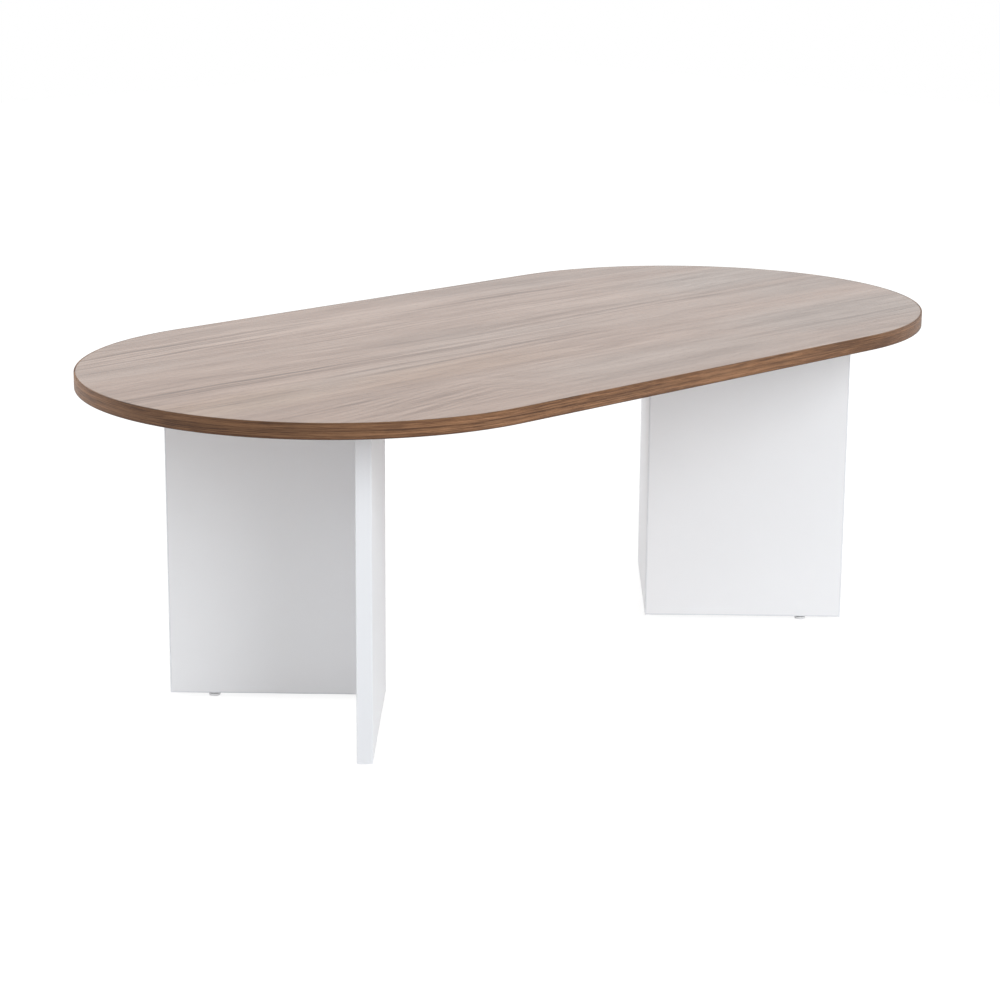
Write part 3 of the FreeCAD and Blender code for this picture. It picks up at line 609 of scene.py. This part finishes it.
# How far the strip's inner edges reach over the board, and how far below the strip's face.
STRIP_TUCK, STRIP_TUCK_DROP = 0.0002, 0.00005
ROUND_STEPS, END_STEPS, STRAIGHT_STEPS = 6, 120, 24
CRISP_ANGLE = math.radians(32)


def racetrack(half_length, radius):
    """Points round the rim, from one side of the seam at the back to the other: place, outward, distance."""
    straight = half_length - radius
    seam = STRIP_SEAM / 2
    back_run = straight - seam
    runs = []
    for step in range(STRAIGHT_STEPS):
        gone = back_run * step / STRAIGHT_STEPS
        runs.append((Vector((seam + gone, radius, 0)), Vector((0, 1, 0)), gone))
    for step in range(END_STEPS + 1):
        angle = math.pi * step / END_STEPS
        outward = Vector((math.sin(angle), math.cos(angle), 0))
        centre = Vector((straight, 0, 0))
        runs.append((centre + radius * outward, outward, back_run + radius * angle))
    front = back_run + math.pi * radius
    for step in range(1, 2 * STRAIGHT_STEPS):
        gone = 2 * straight * step / (2 * STRAIGHT_STEPS)
        runs.append((Vector((straight - gone, -radius, 0)), Vector((0, -1, 0)), front + gone))
    left = front + 2 * straight
    for step in range(END_STEPS + 1):
        angle = math.pi * step / END_STEPS
        outward = Vector((-math.sin(angle), -math.cos(angle), 0))
        centre = Vector((-straight, 0, 0))
        runs.append((centre + radius * outward, outward, left + radius * angle))
    home = left + math.pi * radius
    for step in range(1, STRAIGHT_STEPS + 1):
        gone = back_run * step / STRAIGHT_STEPS
        runs.append((Vector((-straight + gone, radius, 0)), Vector((0, 1, 0)), home + gone))
    return runs


def strip_profile(bottom, top):
    """Depth inward from the rim and height, round the strip's section from inner top edge to inner foot."""
    quarter = [math.pi / 2 * step / ROUND_STEPS for step in range(ROUND_STEPS + 1)]
    bends = [(STRIP_ROUND * (1 - math.sin(angle)), STRIP_ROUND * (1 - math.cos(angle))) for angle in quarter]
    return [
        (STRIP_THICKNESS + STRIP_TUCK, top - STRIP_TUCK_DROP),
        (STRIP_THICKNESS, top - STRIP_TUCK_DROP),
        (STRIP_THICKNESS - STRIP_TUCK_DROP, top),
        *((depth, top - drop) for depth, drop in bends),
        *((depth, bottom + rise) for rise, depth in bends),
        (STRIP_THICKNESS - STRIP_TUCK_DROP, bottom),
        (STRIP_THICKNESS, bottom + STRIP_TUCK_DROP),
        (STRIP_THICKNESS + STRIP_TUCK, bottom + STRIP_TUCK_DROP),
    ]


def smoothed(mesh):
    """Smooth shading, with the edges left crisp where faces meet at more than CRISP_ANGLE."""
    mesh.shade_smooth()
    mesh.set_sharp_from_angle(angle=CRISP_ANGLE)
    return mesh


def link_piece(name, mesh, body):
    """A new piece in the scene that moves with a body of the frame."""
    piece = bpy.data.objects.new(name, mesh)
    bpy.context.scene.collection.objects.link(piece)
    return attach(piece, body)


def sweep_strip():
    low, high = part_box("top_edge_band")
    radius = high.y
    rim = racetrack(TABLE_LENGTH / 2, radius)
    section = strip_profile(low.z, high.z)
    points, grain = [], []
    for place, outward, distance in rim:
        for depth, height in section:
            points.append(place - depth * outward + Vector((0, 0, height)))
            grain += (distance, height, 0.0)
    count = len(section)
    faces = []
    for ring in range(len(rim) - 1):
        for side in range(count):
            following = (side + 1) % count
            here, there = ring * count, (ring + 1) * count
            faces.append((here + side, here + following, there + following, there + side))
    faces.append(tuple(reversed(range(count))))
    faces.append(tuple(range((len(rim) - 1) * count, len(rim) * count)))
    mesh = bpy.data.meshes.new("rim_strip")
    mesh.from_pydata(points, [], faces)
    mesh.attributes.new("grain", "FLOAT_VECTOR", "POINT").data.foreach_set("vector", grain)
    return smoothed(mesh)


rim_strip = link_piece("rim_strip", sweep_strip(), "table")
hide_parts("top_edge_band")
print("rim strip:", len(rim_strip.data.polygons), "faces")

# %% Rim strip finish
# The dark plastic of the strip, also used as painted shade along its lower edge.
STRIP_CORE_AND_SHADE = (0.085, 0.037, 0.016, 1)
# Which layer of the walnut the strip shows, and how much shorter and finer its figure is than the top's.
STRIP_LAYER, STRIP_SHORTER, STRIP_FINER = 7.3, 3.4, 6.0
STRIP_TONE = (1.01, 1.13, 1.54, 1)
STRIP_ROUGH, STRIP_SPECULAR, STRIP_RELIEF = 0.48, 0.28, (0.03, 0.6)
# Runs of darker tone along the rim: middle along and up, half length, half height, strength. The first is
# darker print; the second, near the right end, is painted shade standing in for a darker reflection there.
STRIP_PRINT_AND_SHADE_RUNS = ((2.20, 0.4, 0.31, 1.0, 0.74), (1.10, 0.4, 0.40, 1.0, 0.28))
STRIP_SHADE = (0.42, 0.40, 0.38, 1)
# The dark line at the strip's foot, part trimmed print and part painted shade: its height and strength.
STRIP_FOOT_LINE, FOOT_LINE_DARKNESS = 0.0014, 0.85
# Darker lines along the strip: how many fit its height, how far and how often they stray, their strength.
STRIPES, STRIPE_STRAY, STRAYS_PER_METRE, STRIPE_STRENGTH = 2.0, 0.35, 6.0, 0.42


def trimmed_and_shaded_foot(graph, up):
    """How dark the strip's lower edge is: the print rubbed away where the trimmer ran, and painted shade of
    the edge that faces down.
    """
    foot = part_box("top_edge_band")[0].z
    return graph.spread(up, foot + STRIP_FOOT_LINE / 2, foot + STRIP_FOOT_LINE, FOOT_LINE_DARKNESS, 0.0)


def striped(graph, along, up):
    """How dark the long lines are: most at the strip's edges and middle, least between them."""
    low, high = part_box("top_edge_band")
    share = graph.math("DIVIDE", graph.math("SUBTRACT", up, low.z), high.z - low.z)
    stray = graph.noise(graph.join(graph.math("MULTIPLY", along, STRAYS_PER_METRE), 0.0, 0.0), detail=3)
    strayed = graph.math("ADD", share, centred(graph, stray, STRIPE_STRAY))
    wave = graph.math("COSINE", graph.math("MULTIPLY", strayed, 2 * math.pi * STRIPES))
    return graph.math("MULTIPLY_ADD", wave, STRIPE_STRENGTH / 2, STRIPE_STRENGTH / 2)


def make_walnut_strip():
    material, graph, shader = new_finish("walnut_strip")
    grain = graph.add("ShaderNodeAttribute", attribute_name="grain").outputs["Vector"]
    along, up, _ = graph.split(grain)
    shorter = graph.math("MULTIPLY", along, STRIP_SHORTER)
    finer = graph.math("MULTIPLY", up, STRIP_FINER)
    wood = graph.effect(
        walnut_print,
        Place=graph.join(shorter, finer, STRIP_LAYER),
        Figure=0.0,
        Wander=0.1,
        Contrast=3.5,
        Clouds=0.24,
        Haze=0.25,
    )
    toned = graph.mix(1.0, wood["Color"], STRIP_TONE, "MULTIPLY")
    toned = graph.mix(striped(graph, along, up), toned, STRIP_SHADE, "MULTIPLY")
    # Darker runs along the rim: darker print at the front left, painted shade near the right end.
    for facts in STRIP_PRINT_AND_SHADE_RUNS:
        toned = graph.mix(patch(graph, along, up, facts), toned, STRIP_SHADE, "MULTIPLY")
    # The strip's foot darkened: trimmed print and painted shade of the downward-facing edge.
    graph.put(shader["Base Color"], graph.mix(trimmed_and_shaded_foot(graph, up), toned, STRIP_CORE_AND_SHADE))
    graph.put(shader["Roughness"], graph.math("MULTIPLY_ADD", wood["Pores"], PORE_ROUGH, STRIP_ROUGH))
    sunk = graph.math("SUBTRACT", wood["Lines"], wood["Pores"])
    graph.put(shader["Normal"], graph.bump(sunk, *STRIP_RELIEF))
    graph.put(shader["Specular IOR Level"], STRIP_SPECULAR)
    return material


rim_strip.data.materials.append(make_walnut_strip())
print("finish:", rim_strip.data.materials[0].name)

# %% [markdown]
# ## White board and white strips
# The legs are white-faced board with white plastic strips on the edges that show. A flat white would look
# like paper, so the face has the fine peel of a press plate and a faint drift of tone, and the strips are a
# touch smoother, with the lengthwise marks of the scraper that trimmed them.

# %% White finishes
BOARD_WHITE = (0.860, 0.866, 0.882, 1)
BOARD_LEVEL, BOARD_ROUGH, BOARD_SPECULAR, BOARD_RELIEF = 0.7, 0.58, 0.36, (0.02, 0.35)
# The strips' white is darker than the board's: painted shade on the ends of the legs.
SHADED_EDGE_WHITE = (0.772, 0.784, 0.810, 1)
EDGE_ROUGH, EDGE_SPECULAR, EDGE_RELIEF = 0.50, 0.38, (0.01, 0.3)
SCRAPER_PACK = (1600.0, 1600.0, 30.0)


def make_white_board():
    material, graph, shader = new_finish("white_board_face")
    place = graph.own_place()
    skin = graph.effect(pressed_skin, Place=place, Peel=1100.0, Drift=0.03)
    core = graph.effect(chipboard_core, Place=place)
    white = graph.mix(1.0, BOARD_WHITE, skin["Tone"], "MULTIPLY")
    graph.put(shader["Base Color"], graph.mix(level_face(graph, BOARD_LEVEL), white, core["Color"]))
    graph.put(shader["Roughness"], graph.math("ADD", skin["Gloss"], BOARD_ROUGH))
    graph.put(shader["Normal"], graph.bump(skin["Height"], *BOARD_RELIEF))
    graph.put(shader["Specular IOR Level"], BOARD_SPECULAR)
    return material


def lay_skin(graph, shader, colour, rough, peel, drift):
    """The pressed skin over a whole finish, in its colour and roughness. Gives back the skin's height."""
    skin = graph.effect(pressed_skin, Place=graph.own_place(), Peel=peel, Drift=drift)
    graph.put(shader["Base Color"], graph.mix(1.0, colour, skin["Tone"], "MULTIPLY"))
    graph.put(shader["Roughness"], graph.math("ADD", skin["Gloss"], rough))
    return skin["Height"]


def make_white_strip():
    material, graph, shader = new_finish("white_edge_strip")
    # The strip's white carries painted shade for the leg ends.
    lay_skin(graph, shader, SHADED_EDGE_WHITE, EDGE_ROUGH, peel=700.0, drift=0.02)
    marks = graph.noise(graph.stretch(graph.own_place(), SCRAPER_PACK), detail=2)
    graph.put(shader["Normal"], graph.bump(marks, *EDGE_RELIEF))
    graph.put(shader["Specular IOR Level"], EDGE_SPECULAR)
    return material


white_board = make_white_board()
white_strip = make_white_strip()
for name, node in nodes.items():
    if name.endswith("_panel"):
        node.material_slots[0].material = white_board
    elif name.endswith("_band") and name != "top_edge_band":
        node.material_slots[0].material = white_strip
print("finishes:", white_board.name, white_strip.name)

# %% [markdown]
# ## Turned and threaded pieces
# Stems, bolts and dowels are turned on a lathe: rings of points about one axis, joined by faces. A thread is
# the exception, because its ridge climbs as it goes round. A boolean cut along a helix could make it, but is
# slow and leaves ragged faces. Here whole rows of points climb with the ridge, so that each row lies on the
# crest or in the root all the way, and the ridge fades out at both ends to meet the plain rings.

# %% Lathe helpers
TURN_STEPS = 36
WELD = 1e-7
# One pitch of a thread, in rows: how far through the pitch each lies, and its share of the ridge's height.
THREAD_ROWS = ((0.0, 0.0), (0.16, 0.0), (0.50, 1.0), (0.66, 1.0))


def ring_of(radius, height, steps):
    """A ring of points about Z. The radius and the height are numbers, or functions of the angle."""
    points = []
    for step in range(steps):
        angle = 2 * math.pi * step / steps
        reach = radius(angle) if callable(radius) else radius
        level = height(angle) if callable(height) else height
        points.append((reach * math.cos(angle), reach * math.sin(angle), level))
    return points


def turn(shape, profile, steps=TURN_STEPS, close_first=False, close_last=False):
    """Turns radii and heights, in order, into one skin, and closes an end with a flat face where asked."""
    loops = []
    for radius, height in profile:
        loops.append([shape.verts.new(point) for point in ring_of(radius, height, steps)])
    for lower, upper in zip(loops, loops[1:]):
        for step in range(len(lower)):
            after = (step + 1) % len(lower)
            shape.faces.new((lower[step], lower[after], upper[after], upper[step]))
    if close_first:
        shape.faces.new(tuple(reversed(loops[0])))
    if close_last:
        shape.faces.new(loops[-1])


def cut_thread(shape, low, high, pitch, root, crest):
    """A right-hand thread about Z: rows that climb one pitch a turn, cut off level at both ends."""
    rows = []
    for lap in range(-1, math.ceil((high - low) / pitch) + 1):
        for share, rise in THREAD_ROWS:
            row = []
            for step in range(TURN_STEPS + 1):
                part = step / TURN_STEPS
                height = min(max(low + pitch * (lap + share + part), low), high)
                fade = min((height - low) / pitch, (high - height) / pitch, 1.0)
                reach = root + (crest - root) * rise * fade
                angle = 2 * math.pi * part
                row.append(shape.verts.new((reach * math.cos(angle), reach * math.sin(angle), height)))
            rows.append(row)
    for lower, upper in zip(rows, rows[1:]):
        for step in range(TURN_STEPS):
            corners = (lower[step], lower[step + 1], upper[step + 1], upper[step])
            heights = [corner.co.z for corner in corners]
            if max(heights) - min(heights) > WELD:
                shape.faces.new(corners)


def welded(shape, name):
    """The finished mesh of a shape: its rings welded together, stray points gone, its faces looking out."""
    bmesh.ops.remove_doubles(shape, verts=shape.verts, dist=WELD)
    loose = [vert for vert in shape.verts if not vert.link_faces]
    bmesh.ops.delete(shape, geom=loose, context="VERTS")
    bmesh.ops.recalc_face_normals(shape, faces=shape.faces)
    mesh = bpy.data.meshes.new(name)
    shape.to_mesh(mesh)
    shape.free()
    return smoothed(mesh)


print("a turned ring has", TURN_STEPS, "points")

# %% [markdown]
# ## The stems of the feet
# A foot is levelled by turning its stem with a spanner, so the stem has a hexagon collar, a metric thread
# above it and a button below, which turns in the pad. With the foot screwed right in, almost none of it
# shows; with the foot screwed out, ten turns of thread come into view. The stem of the frame is a plain rod
# in the same place, so this one replaces it and rides on the same body.

# %% Stems
STEM_PITCH = 0.001
STEM_CREST, STEM_ROOT = 0.0029, 0.0024
STEM_TIP = 0.0006
BUTTON_RADIUS, BUTTON_HEIGHT, BUTTON_EDGE = 0.0035, 0.0011, 0.0002
NECK_RADIUS = 0.0025
COLLAR_FLATS, COLLAR_LOW, COLLAR_HIGH = 0.010, 0.0023, 0.0038
# The collar's corners are turned down outside a round face, a little less wide than its flats.
COLLAR_FACE = 0.98 * COLLAR_FLATS / 2
COLLAR_CHAMFER = math.radians(30)


def hexagon(angle):
    """How far a hexagon collar reaches at an angle, with a corner at 0."""
    from_flat = angle % (math.pi / 3) - math.pi / 6
    return COLLAR_FLATS / 2 / math.cos(from_flat)


def collar_drop(angle):
    """How far the chamfer takes a corner of the collar down from its face."""
    return (hexagon(angle) - COLLAR_FACE) * math.tan(COLLAR_CHAMFER)


def make_stem_mesh(length):
    """A stem with the underside of its button at Z 0."""
    shape = bmesh.new()
    lower = [
        (BUTTON_RADIUS - BUTTON_EDGE, 0),
        (BUTTON_RADIUS, BUTTON_EDGE),
        (BUTTON_RADIUS, BUTTON_HEIGHT - BUTTON_EDGE),
        (BUTTON_RADIUS - BUTTON_EDGE, BUTTON_HEIGHT),
        (NECK_RADIUS, BUTTON_HEIGHT),
        (NECK_RADIUS, COLLAR_LOW),
        (COLLAR_FACE, COLLAR_LOW),
        (hexagon, lambda angle: COLLAR_LOW + collar_drop(angle)),
        (hexagon, lambda angle: COLLAR_HIGH - collar_drop(angle)),
        (COLLAR_FACE, COLLAR_HIGH),
        (STEM_ROOT, COLLAR_HIGH),
    ]
    turn(shape, lower, close_first=True)
    cut_thread(shape, COLLAR_HIGH, length - STEM_TIP, STEM_PITCH, STEM_ROOT, STEM_CREST)
    tip = [(STEM_ROOT, length - STEM_TIP), (STEM_ROOT - STEM_TIP, length)]
    turn(shape, tip, close_last=True)
    return welded(shape, "threaded_stem")


def place_stem(foot):
    """A threaded stem where the frame has its plain one."""
    low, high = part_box(f"foot_stem_{foot}")
    mesh = make_stem_mesh(high.z - low.z)
    mesh.transform(Matrix.Translation(((low.x + high.x) / 2, (low.y + high.y) / 2, low.z)))
    stem = link_piece(f"threaded_stem_{foot}", mesh, f"stem_{foot}")
    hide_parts(f"foot_stem_{foot}")
    return stem


stems = [place_stem(foot) for foot in FEET]
print(len(stems), "stems of", len(stems[0].data.polygons), "faces")

# %% [markdown]
# ## Cam bolts and dowels
# A cam bolt has a coarse thread for chipboard, a shank, and a neck and head that the cam grips. A dowel has
# flutes that let glue and air out. All are inside the boards, but they are what the table comes apart into,
# so they get their real shape. The frame holds each set as one node, so its solids are told apart first.
# Every copy is the same mesh, laid on the axis of one solid.

# %% Copies on the frame's solids
BUTTED_ARM = Vector((1, 1, 0)).normalized()
LEG_SIDES = {"right": 1, "left": -1}
DOWNWARDS = Vector((0, 0, -1))


def solids_of(node):
    """The corner points of each separate solid in a node of the frame."""
    shape = bmesh.new()
    shape.from_mesh(nodes[node].data)
    bmesh.ops.remove_doubles(shape, verts=shape.verts, dist=WELD)
    solids = []
    for first in shape.verts:
        if first.tag:
            continue
        first.tag = True
        waiting, points = [first], []
        while waiting:
            vert = waiting.pop()
            points.append(vert.co.copy())
            for edge in vert.link_edges:
                other = edge.other_vert(vert)
                if not other.tag:
                    other.tag = True
                    waiting.append(other)
        solids.append(points)
    shape.free()
    return solids


def place_on(points, axis):
    """The frame of a round solid: its origin at the solid's first end, its Z along the axis."""
    turn_to_axis = axis.to_track_quat("Z", "Y").to_matrix()
    turned = [turn_to_axis.transposed() @ point for point in points]
    middle_x = (min(spot.x for spot in turned) + max(spot.x for spot in turned)) / 2
    middle_y = (min(spot.y for spot in turned) + max(spot.y for spot in turned)) / 2
    first_end = Vector((middle_x, middle_y, min(spot.z for spot in turned)))
    return Matrix.Translation(turn_to_axis @ first_end) @ turn_to_axis.to_4x4()


def lay_copies(node, axis, template, name):
    """One piece for a node: a copy of the template on each of its solids. Each point keeps where it lay."""
    points, faces, grain = [], [], []
    for solid in solids_of(node):
        place = place_on(solid, axis)
        first = len(points)
        points += [place @ vert.co for vert in template.vertices]
        faces += [[first + corner for corner in face.vertices] for face in template.polygons]
        grain += [number for vert in template.vertices for number in vert.co]
    mesh = bpy.data.meshes.new(name)
    mesh.from_pydata(points, [], faces)
    mesh.attributes.new("grain", "FLOAT_VECTOR", "POINT").data.foreach_set("vector", grain)
    piece = link_piece(name, smoothed(mesh), "table")
    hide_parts(node)
    return piece


def lay_in_legs(kind, template, name):
    """The copies in both legs: those at the top lie upright, those at the corner along the butted arm."""
    pieces = []
    for leg, side in LEG_SIDES.items():
        for joint, axis in (("top", DOWNWARDS), ("corner", side * BUTTED_ARM)):
            node = f"{leg}_leg_{joint}_{kind}"
            pieces.append(lay_copies(node, axis, template, f"{leg}_{joint}_{name}"))
    return pieces


print(len(solids_of("right_leg_top_bolts")), "bolts at the top of a leg")

# %% Cam bolts
BOLT_PITCH = 0.0022
BOLT_CREST, BOLT_ROOT, BOLT_TIP = 0.0029, 0.0019, 0.0012
BOLT_JOINT = 0.011
BOLT_SHANK, SHANK_LENGTH = 0.0035, 0.0255
BOLT_NECK, BOLT_HEAD, HEAD_LENGTH = 0.0019, 0.0030, 0.0030
BOLT_EDGE, HEAD_EDGE = 0.0003, 0.0008


def make_bolt_mesh(length):
    """A cam bolt with the tip of its thread at Z 0."""
    shank_end = BOLT_JOINT + SHANK_LENGTH
    head_start = length - HEAD_LENGTH
    shape = bmesh.new()
    tip = [(BOLT_ROOT - BOLT_TIP, 0), (BOLT_ROOT, BOLT_TIP)]
    turn(shape, tip, close_first=True)
    cut_thread(shape, BOLT_TIP, BOLT_JOINT, BOLT_PITCH, BOLT_ROOT, BOLT_CREST)
    rest = [
        (BOLT_ROOT, BOLT_JOINT),
        (BOLT_SHANK - BOLT_EDGE, BOLT_JOINT),
        (BOLT_SHANK, BOLT_JOINT + BOLT_EDGE),
        (BOLT_SHANK, shank_end - BOLT_EDGE),
        (BOLT_SHANK - BOLT_EDGE, shank_end),
        (BOLT_NECK, shank_end),
        (BOLT_NECK, head_start),
        (BOLT_HEAD - BOLT_EDGE, head_start),
        (BOLT_HEAD, head_start + BOLT_EDGE),
        (BOLT_HEAD, length - HEAD_EDGE),
        (BOLT_HEAD - HEAD_EDGE, length),
    ]
    turn(shape, rest, close_last=True)
    return welded(shape, "cam_bolt")


bolt_low, bolt_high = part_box("right_leg_top_bolts")
cam_bolt = make_bolt_mesh(bolt_high.z - bolt_low.z)
bolt_pieces = lay_in_legs("bolts", cam_bolt, "threaded_bolts")
print([piece.name for piece in bolt_pieces])

# %% Dowels
DOWEL_RADIUS, DOWEL_FLUTE = 0.0040, 0.00035
DOWEL_FLUTES, STEPS_PER_FLUTE = 18, 6
DOWEL_CHAMFER = 0.001


def fluted(angle):
    """How far a dowel reaches at an angle: round ribs with narrow flutes between."""
    wave = math.cos(angle * DOWEL_FLUTES / 2) ** 2
    return DOWEL_RADIUS - DOWEL_FLUTE * wave ** 2


def make_dowel_mesh(length):
    shape = bmesh.new()
    steps = DOWEL_FLUTES * STEPS_PER_FLUTE
    profile = [
        (DOWEL_RADIUS - DOWEL_CHAMFER, 0),
        (fluted, DOWEL_CHAMFER),
        (fluted, length - DOWEL_CHAMFER),
        (DOWEL_RADIUS - DOWEL_CHAMFER, length),
    ]
    turn(shape, profile, steps, close_first=True, close_last=True)
    return welded(shape, "dowel")


dowel_low, dowel_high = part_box("right_leg_top_dowels")
dowel = make_dowel_mesh(dowel_high.z - dowel_low.z)
dowel_pieces = lay_in_legs("dowels", dowel, "fluted_dowels")
print([piece.name for piece in dowel_pieces])

# %% [markdown]
# ## Finishes of the fittings
# Caps and pads are moulded, so they take the pressed skin: the caps a white that is a shade greyer than the
# board's, as moulded covers are, and the pads a silver grey with fine bright flakes in the plastic. Cams are
# dull zinc castings, and stems, bolts and inserts plated steel, so they take the plating. A dowel is bare
# beech, with fine fibres and short brown flecks along its length.

# %% Moulded caps and pads
CAP_WHITE = (0.75, 0.753, 0.758, 1)
CAP_ROUGH, CAP_RELIEF = 0.40, (0.03, 0.4)
PAD_SILVER = (0.74, 0.74, 0.745, 1)
PAD_ROUGH, PAD_RELIEF = 0.34, (0.02, 0.3)
FLAKES_PER_METRE, FLAKE_EDGES, FLAKE_METAL = 7000.0, (0.35, 0.65), (0.15, 0.50)


def make_white_cap():
    material, graph, shader = new_finish("white_cap")
    peel = lay_skin(graph, shader, CAP_WHITE, CAP_ROUGH, peel=2500.0, drift=0.10)
    graph.put(shader["Normal"], graph.bump(peel, *CAP_RELIEF))
    return material


def make_silver_pad():
    material, graph, shader = new_finish("silver_pad")
    peel = lay_skin(graph, shader, PAD_SILVER, PAD_ROUGH, peel=2200.0, drift=0.10)
    flakes = graph.noise(graph.own_place(), scale=FLAKES_PER_METRE, detail=1)
    graph.put(shader["Metallic"], graph.spread(flakes, *FLAKE_EDGES, *FLAKE_METAL))
    graph.put(shader["Normal"], graph.bump(peel, *PAD_RELIEF))
    return material


white_cap, silver_pad = make_white_cap(), make_silver_pad()
print("finishes:", white_cap.name, silver_pad.name)

# %% Zinc and steel
ZINC = (0.60, 0.60, 0.61, 1)
STEEL = (0.66, 0.66, 0.65, 1)
METAL_RELIEF = (0.01, 0.4)


def make_metal(name, colour, mottle, contrast):
    material, graph, shader = new_finish(name)
    skin = graph.effect(plating, Place=graph.own_place(), Mottle=mottle, Contrast=contrast)
    graph.put(shader["Base Color"], graph.mix(1.0, colour, skin["Tone"], "MULTIPLY"))
    graph.put(shader["Roughness"], skin["Roughness"])
    graph.put(shader["Normal"], graph.bump(skin["Height"], *METAL_RELIEF))
    graph.put(shader["Metallic"], 1.0)
    return material


cast_zinc = make_metal("cast_zinc", ZINC, mottle=900.0, contrast=0.45)
plated_steel = make_metal("plated_steel", STEEL, mottle=500.0, contrast=0.20)
for piece in stems + bolt_pieces:
    piece.data.materials.append(plated_steel)
print("finishes:", cast_zinc.name, plated_steel.name)

# %% Beech
BEECH_STOPS = ((0.3, (0.47, 0.29, 0.16)), (0.7, (0.66, 0.46, 0.29)))
BEECH_FLECK = (0.26, 0.13, 0.06, 1)
FIBRE_PACK, FLECK_PACK = (1500.0, 1500.0, 70.0), (2600.0, 2600.0, 420.0)
FLECK_EDGES, FLECK_SHARES = (0.60, 0.72), (0.0, 0.7)
FIBRE_EDGES, FIBRE_ROUGH, FIBRE_RELIEF = (0.2, 0.8), (0.70, 0.55), (0.05, 0.5)


def make_beech():
    material, graph, shader = new_finish("bare_beech")
    grain = graph.add("ShaderNodeAttribute", attribute_name="grain").outputs["Vector"]
    fibres = graph.noise(graph.stretch(grain, FIBRE_PACK), detail=3)
    fleck_noise = graph.noise(graph.stretch(grain, FLECK_PACK), detail=1)
    flecks = graph.spread(fleck_noise, *FLECK_EDGES, *FLECK_SHARES)
    wood = graph.ramp(fibres, BEECH_STOPS)
    graph.put(shader["Base Color"], graph.mix(flecks, wood, BEECH_FLECK))
    graph.put(shader["Roughness"], graph.spread(fibres, *FIBRE_EDGES, *FIBRE_ROUGH))
    graph.put(shader["Normal"], graph.bump(fibres, *FIBRE_RELIEF))
    return material


beech = make_beech()
for piece in dowel_pieces:
    piece.data.materials.append(beech)
print("finish:", beech.name)

# %% Finishes on the frame's own fittings
# The finish of each kind of fitting, by a part of its name.
FRAME_FINISHES = {
    "_caps": white_cap,
    "_cams": cast_zinc,
    "foot_insert": plated_steel,
    "foot_pad": silver_pad,
}
for mark, finish in FRAME_FINISHES.items():
    marked = [node for name, node in nodes.items() if mark in name]
    for node in marked:
        node.material_slots[0].material = finish
    print(finish.name, "on", len(marked), "nodes")

# %% [markdown]
# ## The view transform
# The render shows colours as they are written, through the standard view transform.

# %% Set the view transform
bpy.context.scene.view_settings.view_transform = "Standard"
